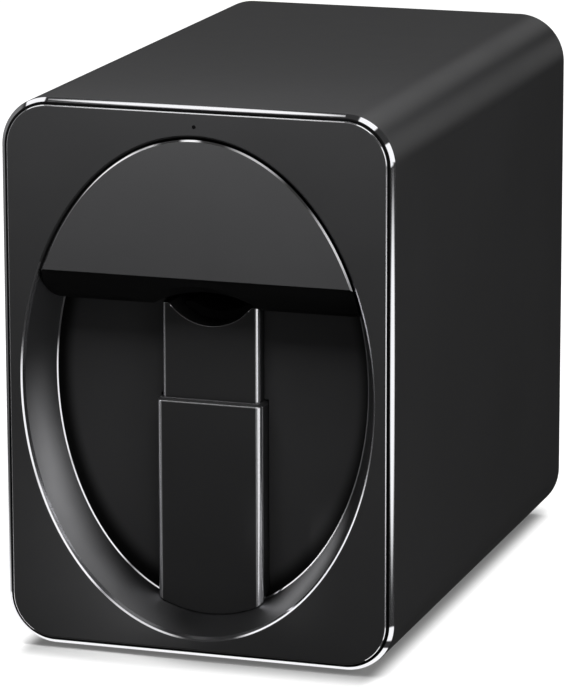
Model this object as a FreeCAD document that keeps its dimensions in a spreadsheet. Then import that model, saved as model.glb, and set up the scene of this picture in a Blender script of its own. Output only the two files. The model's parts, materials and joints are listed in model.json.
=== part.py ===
import FreeCAD, Part
import math
import os
import Sketcher
from FreeCAD import Rotation, Vector

# Tabletop nail printer: an elliptical recess with a spring-loaded finger rest under a pull-off hood,
# and behind them a two-axis carriage that passes an ink cartridge over the nail.
# Frame: X to the object's right seen from the front, -Y to the front, +Z up; the origin lies on the
# surface that the feet stand on, under the middle of the bounding box.

doc = FreeCAD.newDocument("nail_printer")
sheet = doc.addObject("Spreadsheet::Sheet", "Sizes")


class Size:
    """A length that carries its value and the sheet expression that gives it."""

    def __init__(self, value, text):
        self.value = float(value)
        self.text = text

    def __add__(self, other):
        other = as_size(other)
        return Size(self.value + other.value, f"({self.text} + {other.text})")

    def __radd__(self, other):
        return as_size(other) + self

    def __sub__(self, other):
        other = as_size(other)
        return Size(self.value - other.value, f"({self.text} - {other.text})")

    def __rsub__(self, other):
        return as_size(other) - self

    def __mul__(self, other):
        other = as_size(other)
        return Size(self.value * other.value, f"({self.text} * {other.text})")

    def __rmul__(self, other):
        return as_size(other) * self

    def __truediv__(self, other):
        other = as_size(other)
        return Size(self.value / other.value, f"({self.text} / {other.text})")

    def __neg__(self):
        return Size(-self.value, f"(0 - {self.text})")


def as_size(number):
    """Lift a plain number to a Size."""
    if isinstance(number, Size):
        return number
    return Size(number, f"({number})")


def root(size):
    """Square root of a Size."""
    return Size(math.sqrt(size.value), f"sqrt({size.text})")


cell_rows = []


def cell(alias, value):
    """Write one driving dimension into the sheet and return it as a Size."""
    cell_rows.append(alias)
    row = len(cell_rows)
    sheet.set(f"A{row}", alias)
    sheet.set(f"B{row}", str(value))
    sheet.setAlias(f"B{row}", alias)
    return Size(value, f"Sizes.{alias}")


# ---------------------------------------------------------------- housing and front
body_width = cell("body_width", 125)
body_height = cell("body_height", 172)
body_corner = cell("body_corner", 15.5)
shell_length = cell("shell_length", 196.7)
shell_wall = cell("shell_wall", 2)
shell_bevel = cell("shell_bevel", 1.4)
foot_height = cell("foot_height", 1.5)
foot_radius = cell("foot_radius", 6)
foot_inset = cell("foot_inset", 22.5)
foot_taper = cell("foot_taper", 0.5)
panel_proud = cell("panel_proud", 0.8)
panel_thickness = cell("panel_thickness", 1.6)
panel_gap = cell("panel_gap", 0.15)
panel_bevel = cell("panel_bevel", 0.5)
aperture_side_margin = cell("aperture_side_margin", 3.85)
aperture_top_margin = cell("aperture_top_margin", 7.15)
aperture_base_margin = cell("aperture_base_margin", 3.55)
aperture_bevel = cell("aperture_bevel", 0.4)
throat_depth = cell("throat_depth", 15)
throat_side_taper = cell("throat_side_taper", 6.2)
throat_end_taper = cell("throat_end_taper", 6.5)
throat_lip = cell("throat_lip", 0.4)
throat_undercut = cell("throat_undercut", 2)
bezel_wall = cell("bezel_wall", 1.8)
bezel_flange = cell("bezel_flange", 2.4)
back_wall_thickness = cell("back_wall_thickness", 2)
indicator_drop = cell("indicator_drop", 4.4)
indicator_radius = cell("indicator_radius", 0.55)
status_board_width = cell("status_board_width", 15.5)
status_board_drop = cell("status_board_drop", 2)

# ---------------------------------------------------------------- hood over the finger opening
hood_gap = cell("hood_gap", 0.9)
hood_edge_rise = cell("hood_edge_rise", 4)
hood_bottom_drop = cell("hood_bottom_drop", 7.7)
hood_roll_radius = cell("hood_roll_radius", 18.2)
hood_roll_inset = cell("hood_roll_inset", 0.9)
hood_lip = cell("hood_lip", 0.75)
hood_bevel = cell("hood_bevel", 0.35)
hood_wall = cell("hood_wall", 2)
lining_wall = cell("lining_wall", 1.5)
hood_rear_gap = cell("hood_rear_gap", 0.7)
arch_apex_rise = cell("arch_apex_rise", 2.1)
arch_apex_drop = cell("arch_apex_drop", 4.4)
arch_mouth_radius = cell("arch_mouth_radius", 35)
arch_throat_radius = cell("arch_throat_radius", 36)
arch_funnel_length = cell("arch_funnel_length", 11)
magnet_radius = cell("magnet_radius", 3)
magnet_length = cell("magnet_length", 2.3)
magnet_spacing = cell("magnet_spacing", 60)
magnet_rise = cell("magnet_rise", 11.5)
catch_thickness = cell("catch_thickness", 0.8)
bay_margin = cell("bay_margin", 2)

# ---------------------------------------------------------------- finger rest
sleeve_face_depth = cell("sleeve_face_depth", 11.5)
sleeve_width = cell("sleeve_width", 34.2)
sleeve_corner = cell("sleeve_corner", 2.3)
sleeve_front_wall = cell("sleeve_front_wall", 1.8)
sleeve_side_wall = cell("sleeve_side_wall", 1.1)
rest_rise = cell("rest_rise", 7.6)
sleeve_top_bevel = cell("sleeve_top_bevel", 1)
sleeve_floor_height = cell("sleeve_floor_height", 16.5)
rest_clearance = cell("rest_clearance", 0.3)
rest_corner = cell("rest_corner", 1.5)
rest_length = cell("rest_length", 36.4)
finger_room = cell("finger_room", 6.9)
rest_travel = cell("rest_travel", 22)
rest_wall = cell("rest_wall", 2)
scoop_depth = cell("scoop_depth", 6.5)
scoop_margin = cell("scoop_margin", 2.5)
scoop_shoulder = cell("scoop_shoulder", 2)
pad_thickness = cell("pad_thickness", 2.8)
pad_setback = cell("pad_setback", 9.4)
pad_half_width = cell("pad_half_width", 11)
pad_top_drop = cell("pad_top_drop", 1.2)
spring_radius = cell("spring_radius", 6)
spring_wire = cell("spring_wire", 0.6)
spring_length = cell("spring_length", 41.4)
spring_turns = cell("spring_turns", 7)
spring_seat_gap = cell("spring_seat_gap", 0.1)
spigot_radius = cell("spigot_radius", 4)
post_height = cell("post_height", 12)
spigot_length = cell("spigot_length", 5)
web_thickness = cell("web_thickness", 2)

# ---------------------------------------------------------------- inner frame
base_plate_height = cell("base_plate_height", 4.5)
base_plate_thickness = cell("base_plate_thickness", 2.5)
base_setback = cell("base_setback", 0.5)
base_corner = cell("base_corner", 4)
base_rear_gap = cell("base_rear_gap", 1)
frame_side_gap = cell("frame_side_gap", 8)
frame_thickness = cell("frame_thickness", 2.5)
frame_top_rise = cell("frame_top_rise", 25.5)
frame_shoulder_height = cell("frame_shoulder_height", 49)
frame_rib = cell("frame_rib", 10)
front_bulkhead_gap = cell("front_bulkhead_gap", 3.5)
motor_rear_gap = cell("motor_rear_gap", 4.5)
bulkhead_thickness = cell("bulkhead_thickness", 2.5)
bulkhead_drop = cell("bulkhead_drop", 12)
notch_clearance = cell("notch_clearance", 6)
rear_bulkhead_base = cell("rear_bulkhead_base", 31)
rear_window_margin = cell("rear_window_margin", 24)
rear_window_corner = cell("rear_window_corner", 5)
rear_post_rise = cell("rear_post_rise", 8)
shelf_drop = cell("shelf_drop", 18.5)
shelf_thickness = cell("shelf_thickness", 2)
shelf_length = cell("shelf_length", 34)
cap_height = cell("cap_height", 3)
cap_lip = cell("cap_lip", 1.2)
cap_inset = cell("cap_inset", 4)
cap_holder_rim = cell("cap_holder_rim", 1)
wiper_gap = cell("wiper_gap", 2)
wiper_foot = cell("wiper_foot", 5)
wiper_foot_height = cell("wiper_foot_height", 8)
wiper_blade = cell("wiper_blade", 0.8)
rod_radius = cell("rod_radius", 2.5)
rod_fit = cell("rod_fit", 0.05)
bush_wall = cell("bush_wall", 1.4)
rod_side_gap = cell("rod_side_gap", 7)
long_rod_rise = cell("long_rod_rise", 17.5)
lead_screw_radius = cell("lead_screw_radius", 3)
lead_screw_rise = cell("lead_screw_rise", 3.5)
motor_radius = cell("motor_radius", 9)
motor_length = cell("motor_length", 16)
motor_clearance = cell("motor_clearance", 0.8)

# ---------------------------------------------------------------- gantry and carriage
gantry_rear_gap = cell("gantry_rear_gap", 2)
gantry_block_width = cell("gantry_block_width", 14.5)
gantry_side_gap = cell("gantry_side_gap", 1.5)
gantry_base_drop = cell("gantry_base_drop", 3.5)
gantry_block_length = cell("gantry_block_length", 18)
beam_thickness = cell("beam_thickness", 2.5)
beam_height = cell("beam_height", 24)
cross_rod_setback = cell("cross_rod_setback", 5.5)
cross_rod_rise = cell("cross_rod_rise", 6)
cross_rod_spacing = cell("cross_rod_spacing", 17)
cross_rod_seat = cell("cross_rod_seat", 3.5)
pulley_side_gap = cell("pulley_side_gap", 8)
pulley_rise = cell("pulley_rise", 37.5)
pulley_radius = cell("pulley_radius", 5)
pulley_flange = cell("pulley_flange", 1.6)
pulley_rim = cell("pulley_rim", 0.6)
pulley_setback = cell("pulley_setback", 11.5)
belt_width = cell("belt_width", 5)
belt_thickness = cell("belt_thickness", 1)
belt_gap = cell("belt_gap", 0.3)
ear_thickness = cell("ear_thickness", 2.5)
ear_gap = cell("ear_gap", 1)
ear_corner = cell("ear_corner", 2)
nut_flange = cell("nut_flange", 2)
shaft_radius = cell("shaft_radius", 1.5)
carriage_wall = cell("carriage_wall", 2.7)
carriage_block_length = cell("carriage_block_length", 11)
carriage_block_rise = cell("carriage_block_rise", 33)
cradle_floor_rise = cell("cradle_floor_rise", 3)
cradle_floor = cell("cradle_floor", 2.2)
cradle_setback = cell("cradle_setback", 2)
cradle_wall_height = cell("cradle_wall_height", 14)
cradle_rise = cell("cradle_rise", 10)
cradle_rise_length = cell("cradle_rise_length", 12)
clamp_width = cell("clamp_width", 10)
clamp_wall = cell("clamp_wall", 2)
cartridge_width = cell("cartridge_width", 26)
cartridge_rear_gap = cell("cartridge_rear_gap", 6.5)
cartridge_length = cell("cartridge_length", 59)
cartridge_height = cell("cartridge_height", 34)
cartridge_gap = cell("cartridge_gap", 0.3)
nozzle_drop = cell("nozzle_drop", 47.7)
nozzle_plate_thickness = cell("nozzle_plate_thickness", 0.4)
nose_length = cell("nose_length", 15)
nose_chamfer = cell("nose_chamfer", 1.5)
grip_pitch = cell("grip_pitch", 4)
grip_width = cell("grip_width", 1.6)
grip_cut = cell("grip_cut", 0.8)
grip_inset = cell("grip_inset", 3)
cartridge_step = cell("cartridge_step", 5)
plate_inset = cell("plate_inset", 2)
head_clearance = cell("head_clearance", 0.5)
latch_setback = cell("latch_setback", 3.4)
latch_pivot_drop = cell("latch_pivot_drop", 3.5)
latch_width = cell("latch_width", 16)
latch_thickness = cell("latch_thickness", 2.6)
latch_hook = cell("latch_hook", 11.4)
latch_tail = cell("latch_tail", 2)
latch_pin_radius = cell("latch_pin_radius", 1)

# ---------------------------------------------------------------- camera, boards and rear
camera_depth = cell("camera_depth", 36)
camera_board_width = cell("camera_board_width", 44)
camera_board_length = cell("camera_board_length", 22)
bracket_thickness = cell("bracket_thickness", 1.5)
bracket_margin = cell("bracket_margin", 4)
lamp_size = cell("lamp_size", 5)
lamp_length = cell("lamp_length", 10)
lamp_height = cell("lamp_height", 1.2)
board_corner = cell("board_corner", 1.5)
board_thickness = cell("board_thickness", 1.6)
lens_radius = cell("lens_radius", 4)
lens_length = cell("lens_length", 3.4)
glass_radius = cell("glass_radius", 2.4)
glass_length = cell("glass_length", 2)
mainboard_width = cell("mainboard_width", 84)
mainboard_length = cell("mainboard_length", 100)
mainboard_gap = cell("mainboard_gap", 3)
standoff_inset = cell("standoff_inset", 4)
port_zone = cell("port_zone", 15)
processor_size = cell("processor_size", 16)
processor_height = cell("processor_height", 1.8)
driver_size = cell("driver_size", 8)
driver_height = cell("driver_height", 1.4)
driver_spacing = cell("driver_spacing", 48)
capacitor_radius = cell("capacitor_radius", 4)
capacitor_height = cell("capacitor_height", 12)
standoff_height = cell("standoff_height", 4)
standoff_radius = cell("standoff_radius", 3)
rear_thickness = cell("rear_thickness", 2.5)
jack_offset = cell("jack_offset", -28)
usb_offset = cell("usb_offset", -6)
port_length = cell("port_length", 12)
port_gap = cell("port_gap", 0.3)
port_recess = cell("port_recess", 0.6)
port_cavity = cell("port_cavity", 9)
jack_radius = cell("jack_radius", 4)
jack_bore_radius = cell("jack_bore_radius", 2.8)
jack_pin_radius = cell("jack_pin_radius", 1)
usb_width = cell("usb_width", 12)
usb_corner = cell("usb_corner", 0.8)
usb_wall = cell("usb_wall", 1)
usb_slit = cell("usb_slit", 2.6)
button_offset = cell("button_offset", 26)
button_radius = cell("button_radius", 5)
button_travel = cell("button_travel", 1.2)
button_flange = cell("button_flange", 1.2)
button_play = cell("button_play", 0.2)
button_recess = cell("button_recess", 0.3)
switch_gap = cell("switch_gap", 5)
switch_size = cell("switch_size", 8)
switch_length = cell("switch_length", 6)
stem_overlap = cell("stem_overlap", 0.8)
connector_height = cell("connector_height", 11)
vent_width = cell("vent_width", 60)
vent_height = cell("vent_height", 2)
vent_pitch = cell("vent_pitch", 6)
vent_count = cell("vent_count", 6)
vent_corner = cell("vent_corner", 0.8)
screw_radius = cell("screw_radius", 1.5)
screw_head_radius = cell("screw_head_radius", 2.8)
screw_head_height = cell("screw_head_height", 1.1)
screw_fit = cell("screw_fit", 0.05)
rear_post_radius = cell("rear_post_radius", 4)

doc.recompute()

# ---------------------------------------------------------------- derived places
ZERO = as_size(0)
# How far a cutting tool runs past the face that it cuts.
overrun = as_size(1)
half_body = body_width / 2
half_length = (shell_length + panel_proud) / 2
front_y = -half_length
rear_y = half_length


def at(depth):
    """Y of a plane that lies the given depth behind the front face."""
    return front_y + depth


def up(height):
    """Z of a level that lies the given height over the housing's underside."""
    return foot_height + height


hood_depth = hood_roll_radius - hood_roll_inset
back_wall_depth = hood_depth + hood_rear_gap
rear_wall_depth = shell_length + panel_proud - rear_thickness
panel_half_width = half_body - shell_wall - panel_gap
inner_top = up(body_height - shell_wall)
indicator_height = body_height - shell_wall - indicator_drop

# The recess is an ellipse that keeps its margins to the edges of the front panel.
aperture_top_height = body_height - shell_wall - panel_gap - aperture_top_margin
aperture_base_height = shell_wall + panel_gap + aperture_base_margin
aperture_width = 2 * (panel_half_width - aperture_side_margin)
aperture_height = aperture_top_height - aperture_base_height
aperture_z = up((aperture_top_height + aperture_base_height) / 2)
throat_width = aperture_width - 2 * throat_side_taper
throat_height = aperture_height - 2 * throat_end_taper

# Every level of the mechanism is counted from the level of the nozzles.
nozzle_height = aperture_top_height - nozzle_drop
rest_top_height = nozzle_height - finger_room
sleeve_top_height = rest_top_height - rest_travel - rest_rise
hood_edge_height = nozzle_height + hood_edge_rise
hood_bottom_height = nozzle_height - hood_bottom_drop
arch_apex_height = nozzle_height + arch_apex_rise
magnet_height = nozzle_height + magnet_rise
bay_half_width = magnet_spacing / 2 - magnet_radius - bay_margin
frame_top_height = nozzle_height + frame_top_rise
shelf_height = nozzle_height - shelf_drop
long_rod_height = nozzle_height + long_rod_rise
lead_screw_height = nozzle_height + lead_screw_rise
gantry_block_base = nozzle_height - gantry_base_drop
cross_rod_low = nozzle_height + cross_rod_rise
cross_rod_high = cross_rod_low + cross_rod_spacing
pulley_height = nozzle_height + pulley_rise
carriage_block_top = nozzle_height + carriage_block_rise
cradle_floor_height = nozzle_height + cradle_floor_rise
cartridge_base_height = cradle_floor_height + cradle_floor + cartridge_gap
cartridge_top_height = cartridge_base_height + cartridge_height
latch_pivot_height = cartridge_top_height - latch_pivot_drop
rear_post_low = rear_bulkhead_base + rear_post_rise

# The parked gantry stands just in front of the rear bulkhead, and the rest lines up with it.
rear_bulkhead_depth = rear_wall_depth - motor_rear_gap - motor_length - bulkhead_thickness
gantry_depth = rear_bulkhead_depth - gantry_rear_gap - beam_thickness - gantry_block_length
cross_rod_depth = gantry_depth + cross_rod_setback
pulley_depth = gantry_depth + pulley_setback
cartridge_rear_depth = gantry_depth - cartridge_rear_gap
cartridge_front_depth = cartridge_rear_depth - cartridge_length
latch_pivot_depth = cartridge_rear_depth + latch_setback
front_bulkhead_depth = cartridge_front_depth - front_bulkhead_gap - bulkhead_thickness
rest_face_depth = sleeve_face_depth + sleeve_front_wall + rest_clearance
rest_half_width = sleeve_width / 2 - sleeve_side_wall - rest_clearance
half_scoop = rest_half_width - scoop_margin
scoop_radius = (half_scoop * half_scoop + scoop_depth * scoop_depth) / (2 * scoop_depth)
sleeve_rear_depth = rest_face_depth + rest_length + rest_clearance + sleeve_front_wall
base_top_height = base_plate_height + base_plate_thickness
half_frame = half_body - shell_wall - frame_side_gap - frame_thickness
long_rod_x = half_frame - rod_side_gap
gantry_block_outer = half_frame - gantry_side_gap
gantry_block_inner = gantry_block_outer - gantry_block_width
bush_radius = rod_radius + rod_fit + bush_wall
half_cartridge = cartridge_width / 2
carriage_half_width = half_cartridge + cartridge_gap + carriage_wall
mainboard_rear_depth = rear_wall_depth - mainboard_gap
mainboard_top = up(base_top_height + standoff_height) + board_thickness
connector_z = mainboard_top + connector_height / 2

# ---------------------------------------------------------------- building helpers
TURN_TO = {
    "x": Rotation(Vector(0, 1, 0), 90),
    "y": Rotation(Vector(1, 0, 0), -90),
    "z": Rotation(),
}
UPRIGHT_ELLIPSE = Rotation(Vector(1, 1, 1), 240)
nodes = []


def finish(obj, label):
    """Name a finished sub-part and put it on the list of exported nodes."""
    obj.Label = label
    nodes.append(obj)
    return obj


def bind(obj, field, size):
    """Drive one property from the sheet."""
    obj.setExpression(field, as_size(size).text)


def move(obj, x, y, z, rotation=None):
    """Give an object its place, driven from the sheet."""
    if rotation is not None:
        obj.Placement.Rotation = rotation
    bind(obj, "Placement.Base.x", x)
    bind(obj, "Placement.Base.y", y)
    bind(obj, "Placement.Base.z", z)
    return obj


def block(name, x_span, y_span, z_span):
    """Part box between two limits on each axis."""
    box = doc.addObject("Part::Box", name)
    for field, (low, high) in zip(("Length", "Width", "Height"), (x_span, y_span, z_span)):
        bind(box, field, as_size(high) - low)
    return move(box, x_span[0], y_span[0], z_span[0])


def rod(name, radius, axis, centre, start, end):
    """Part cylinder along an axis; centre gives the other two coordinates in X, Y, Z order."""
    bar = doc.addObject("Part::Cylinder", name)
    bind(bar, "Radius", radius)
    bind(bar, "Height", as_size(end) - start)
    place = list(centre)
    place.insert("xyz".index(axis), start)
    return move(bar, place[0], place[1], place[2], TURN_TO[axis])


def tube(name, outer, inner, axis, centre, start, end):
    """Hollow cylinder along an axis."""
    sleeve = rod(name + "_outside", outer, axis, centre, start, end)
    hole = rod(name + "_hole", inner, axis, centre, start, end)
    return cut(name, sleeve, hole)


def cut(name, base, *tools):
    """Boolean difference of one base and any number of tools."""
    result = doc.addObject("Part::Cut", name)
    result.Base = base
    result.Tool = tools[0] if len(tools) == 1 else fuse(name + "_tools", *tools)
    return result


def fuse(name, *shapes):
    """Boolean union."""
    result = doc.addObject("Part::MultiFuse", name)
    result.Shapes = list(shapes)
    return result


def keep_seams(result):
    """Leave the faces of a boolean as they were cut, which later cuts of curved walls rely on."""
    result.Refine = False
    return result


def common(name, first, second):
    """Boolean intersection."""
    result = doc.addObject("Part::MultiCommon", name)
    result.Shapes = [first, second]
    return keep_seams(result)


def group(name, members):
    """Separate solids that share one node."""
    result = doc.addObject("Part::Compound", name)
    result.Links = list(members)
    return result


def ellipse(name, half_width, half_height, y, z):
    """Upright ellipse in a plane parallel to the front."""
    ring = doc.addObject("Part::Ellipse", name)
    bind(ring, "MajorRadius", half_height)
    bind(ring, "MinorRadius", half_width)
    return move(ring, ZERO, y, z, UPRIGHT_ELLIPSE)


def loft(name, sections):
    """Ruled solid through closed sections."""
    solid = doc.addObject("Part::Loft", name)
    solid.Sections = sections
    solid.Solid = True
    solid.Ruled = True
    return solid


def new_body(name):
    """Empty PartDesign body."""
    return doc.addObject("PartDesign::Body", name)


def origin_plane(body, role):
    """One of the body's own origin planes."""
    return next(feature for feature in body.Origin.OriginFeatures if feature.Role == role)


def new_sketch(body, plane, level):
    """Sketch on a plane of the body, moved along the plane's axis to the given level."""
    sketch = body.newObject("Sketcher::SketchObject", body.Name + "_sketch")
    sketch.AttachmentSupport = [(origin_plane(body, plane + "_Plane"), "")]
    sketch.MapMode = "FlatFace"
    offset = -as_size(level) if plane == "XZ" else as_size(level)
    bind(sketch, "AttachmentOffset.Base.z", offset)
    return sketch


def dimension(sketch, kind, *args):
    """Add a driving constraint whose last argument is a Size."""
    size = as_size(args[-1])
    index = sketch.addConstraint(Sketcher.Constraint(kind, *args[:-1], size.value))
    sketch.setExpression(f"Constraints[{index}]", size.text)


def pin_point(sketch, geometry, point, x, y):
    """Fix a point of a sketch element by its distances from the sketch's origin."""
    dimension(sketch, "DistanceX", -1, 1, geometry, point, x)
    dimension(sketch, "DistanceY", -1, 1, geometry, point, y)


def draw_polygon(sketch, points):
    """Closed outline of straight lines."""
    points = [(as_size(x), as_size(y)) for x, y in points]
    first = sketch.GeometryCount
    count = len(points)
    for index in range(count):
        here = points[index]
        after = points[(index + 1) % count]
        start = Vector(here[0].value, here[1].value, 0)
        end = Vector(after[0].value, after[1].value, 0)
        sketch.addGeometry(Part.LineSegment(start, end), False)
    for index in range(count):
        after = first + (index + 1) % count
        sketch.addConstraint(Sketcher.Constraint("Coincident", first + index, 2, after, 1))
    for index, (x, y) in enumerate(points):
        pin_point(sketch, first + index, 1, x, y)


def draw_rectangle(sketch, x_span, y_span):
    """Rectangle between two limits on each axis."""
    (left, right), (low, high) = x_span, y_span
    draw_polygon(sketch, [(left, low), (right, low), (right, high), (left, high)])


def draw_circle(sketch, x, y, radius):
    """Circle by centre and radius."""
    x, y, radius = as_size(x), as_size(y), as_size(radius)
    circle = Part.Circle(Vector(x.value, y.value, 0), Vector(0, 0, 1), radius.value)
    index = sketch.addGeometry(circle, False)
    dimension(sketch, "Radius", index, radius)
    pin_point(sketch, index, 3, x, y)


def draw_rounded(sketch, x_span, y_span, corner):
    """Rectangle with four equal round corners."""
    left, right = as_size(x_span[0]), as_size(x_span[1])
    low, high = as_size(y_span[0]), as_size(y_span[1])
    corner = as_size(corner)
    x0, x1, y0, y1, r = left.value, right.value, low.value, high.value, corner.value
    first = sketch.GeometryCount
    sides = [
        ((x0 + r, y0), (x1 - r, y0)),
        ((x1, y0 + r), (x1, y1 - r)),
        ((x1 - r, y1), (x0 + r, y1)),
        ((x0, y1 - r), (x0, y0 + r)),
    ]
    centres = [(x1 - r, y0 + r), (x1 - r, y1 - r), (x0 + r, y1 - r), (x0 + r, y0 + r)]
    for index in range(4):
        start, end = sides[index]
        sketch.addGeometry(Part.LineSegment(Vector(*start, 0), Vector(*end, 0)), False)
        circle = Part.Circle(Vector(*centres[index], 0), Vector(0, 0, 1), r)
        begin = (index - 1) * math.pi / 2
        sketch.addGeometry(Part.ArcOfCircle(circle, begin, begin + math.pi / 2), False)
    for index in range(8):
        after = first + (index + 1) % 8
        sketch.addConstraint(Sketcher.Constraint("Tangent", first + index, 2, after, 1))
    for index in range(4):
        direction = "Horizontal" if index % 2 == 0 else "Vertical"
        sketch.addConstraint(Sketcher.Constraint(direction, first + 2 * index))
    for index in range(1, 4):
        sketch.addConstraint(Sketcher.Constraint("Equal", first + 1, first + 1 + 2 * index))
    dimension(sketch, "Radius", first + 1, corner)
    dimension(sketch, "DistanceY", -1, 1, first, 1, low)
    dimension(sketch, "DistanceX", -1, 1, first + 2, 1, right)
    dimension(sketch, "DistanceY", -1, 1, first + 4, 1, high)
    dimension(sketch, "DistanceX", -1, 1, first + 6, 1, left)


def pad(body, plane, start, end, draw):
    """Pad what draw() puts in a sketch, from start to end along the plane's axis."""
    sketch = new_sketch(body, plane, end if plane == "XZ" else start)
    draw(sketch)
    feature = body.newObject("PartDesign::Pad", body.Name + "_pad")
    feature.Profile = sketch
    bind(feature, "Length", as_size(end) - start)
    body.Tip = feature
    return feature


def pocket(body, plane, start, end, draw):
    """Pocket what draw() puts in a sketch, from start to end along the plane's axis."""
    sketch = new_sketch(body, plane, start if plane == "XZ" else end)
    draw(sketch)
    feature = body.newObject("PartDesign::Pocket", body.Name + "_pocket")
    feature.Profile = sketch
    bind(feature, "Length", as_size(end) - start)
    body.Tip = feature
    return feature


def prism(name, plane, start, end, draw):
    """Body that is a single pad."""
    body = new_body(name)
    pad(body, plane, start, end, draw)
    return body


def edges_where(shape, test):
    """Names of the edges of a shape whose bounding box passes a test."""
    return [f"Edge{i}" for i, edge in enumerate(shape.Edges, 1) if test(edge.BoundBox)]


def dress(body, kind, size, test):
    """Fillet or chamfer the edges of the body's last feature that pass a test."""
    doc.recompute()
    base = body.Tip
    feature = body.newObject("PartDesign::" + kind, body.Name + "_" + kind.lower())
    feature.Base = (base, edges_where(base.Shape, test))
    bind(feature, "Radius" if kind == "Fillet" else "Size", size)
    body.Tip = feature
    return feature


def near(number, size):
    """True where a coordinate meets a Size."""
    return abs(number - as_size(size).value) < 1e-3


# ---------------------------------------------------------------- housing
foot_x = half_body - foot_inset
foot_y = half_length - foot_inset
foot_places = [(x, y) for x in (-foot_x, foot_x) for y in (-foot_y, foot_y)]


def make_outer_shell():
    """Extruded tube with a bevelled front edge and four counterbored holes over the feet."""
    lip_y = at(panel_proud)
    body = new_body("outer_shell")

    def outline(sketch):
        draw_rounded(sketch, (-half_body, half_body), (foot_height, up(body_height)), body_corner)
        inside = half_body - shell_wall
        inner_corner = body_corner - shell_wall
        draw_rounded(sketch, (-inside, inside), (up(shell_wall), inner_top), inner_corner)

    def screw_heads(sketch):
        for x, y in foot_places:
            draw_circle(sketch, x, y, screw_head_radius + screw_fit)

    def screw_shafts(sketch):
        for x, y in foot_places:
            draw_circle(sketch, x, y, screw_radius + screw_fit)

    pad(body, "XZ", lip_y, rear_y, outline)
    pocket(body, "XY", foot_height, foot_height + screw_head_height, screw_heads)
    pocket(body, "XY", foot_height, up(shell_wall), screw_shafts)

    def on_outer_front_edge(box):
        on_front = near(box.YMin, lip_y) and near(box.YMax, lip_y)
        at_side = near(max(abs(box.XMin), abs(box.XMax)), half_body)
        at_end = near(box.ZMin, foot_height) or near(box.ZMax, up(body_height))
        return on_front and (at_side or at_end)

    dress(body, "Chamfer", shell_bevel, on_outer_front_edge)
    return finish(body, "outer_shell")


def make_feet():
    """Four round rubber feet with domed edges."""
    feet = []
    for index, (x, y) in enumerate(foot_places):
        foot = doc.addObject("Part::Cone", f"foot_{index}")
        bind(foot, "Radius1", foot_radius - foot_taper)
        bind(foot, "Radius2", foot_radius)
        bind(foot, "Height", foot_height)
        feet.append(move(foot, x, y, ZERO))
    return finish(group("rubber_feet", feet), "rubber_feet")


def make_base_screws():
    """Screws that hold the inner frame down through the housing's floor."""
    screws = []
    for index, (x, y) in enumerate(foot_places):
        head_top = foot_height + screw_head_height
        shaft_top = up(base_top_height)
        head = rod(f"base_screw_head_{index}", screw_head_radius, "z", (x, y), foot_height, head_top)
        shaft = rod(f"base_screw_shaft_{index}", screw_radius, "z", (x, y), foot_height, shaft_top)
        screws.append(fuse(f"base_screw_{index}", head, shaft))
    return finish(group("base_screws", screws), "base_screws")


# ---------------------------------------------------------------- front
def opening_half(depth, inset=ZERO):
    """Half width and half height of the tapering recess at a depth, less an inset."""
    share = as_size(depth) / throat_depth
    half_width = aperture_width / 2 - (aperture_width - throat_width) / 2 * share - inset
    half_height = aperture_height / 2 - (aperture_height - throat_height) / 2 * share - inset
    return half_width, half_height


def recess_section(name, depth, inset=ZERO):
    """Elliptical section of the recess at a depth."""
    half_width, half_height = opening_half(depth, inset)
    return ellipse(name, half_width, half_height, at(depth), aperture_z)


def make_front_panel():
    """Proud front plate with bevelled edges and the elliptical aperture."""
    body = new_body("front_panel_blank")
    low = up(shell_wall + panel_gap)
    high = inner_top - panel_gap
    corner = body_corner - shell_wall - panel_gap

    def outline(sketch):
        draw_rounded(sketch, (-panel_half_width, panel_half_width), (low, high), corner)
        draw_circle(sketch, ZERO, up(indicator_height), indicator_radius + screw_fit)

    pad(body, "XZ", front_y, at(panel_thickness), outline)

    def on_front_outline(box):
        on_front = near(box.YMin, front_y) and near(box.YMax, front_y)
        return on_front and box.DiagonalLength > 4 * indicator_radius.value

    dress(body, "Chamfer", panel_bevel, on_front_outline)
    sections = [
        recess_section("panel_hole_0", -panel_bevel, -(aperture_bevel + panel_bevel)),
        recess_section("panel_hole_1", aperture_bevel),
        recess_section("panel_hole_2", panel_thickness + panel_bevel),
    ]
    hole = loft("panel_hole", sections)
    return finish(cut("front_panel", body, hole), "front_panel")


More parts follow.
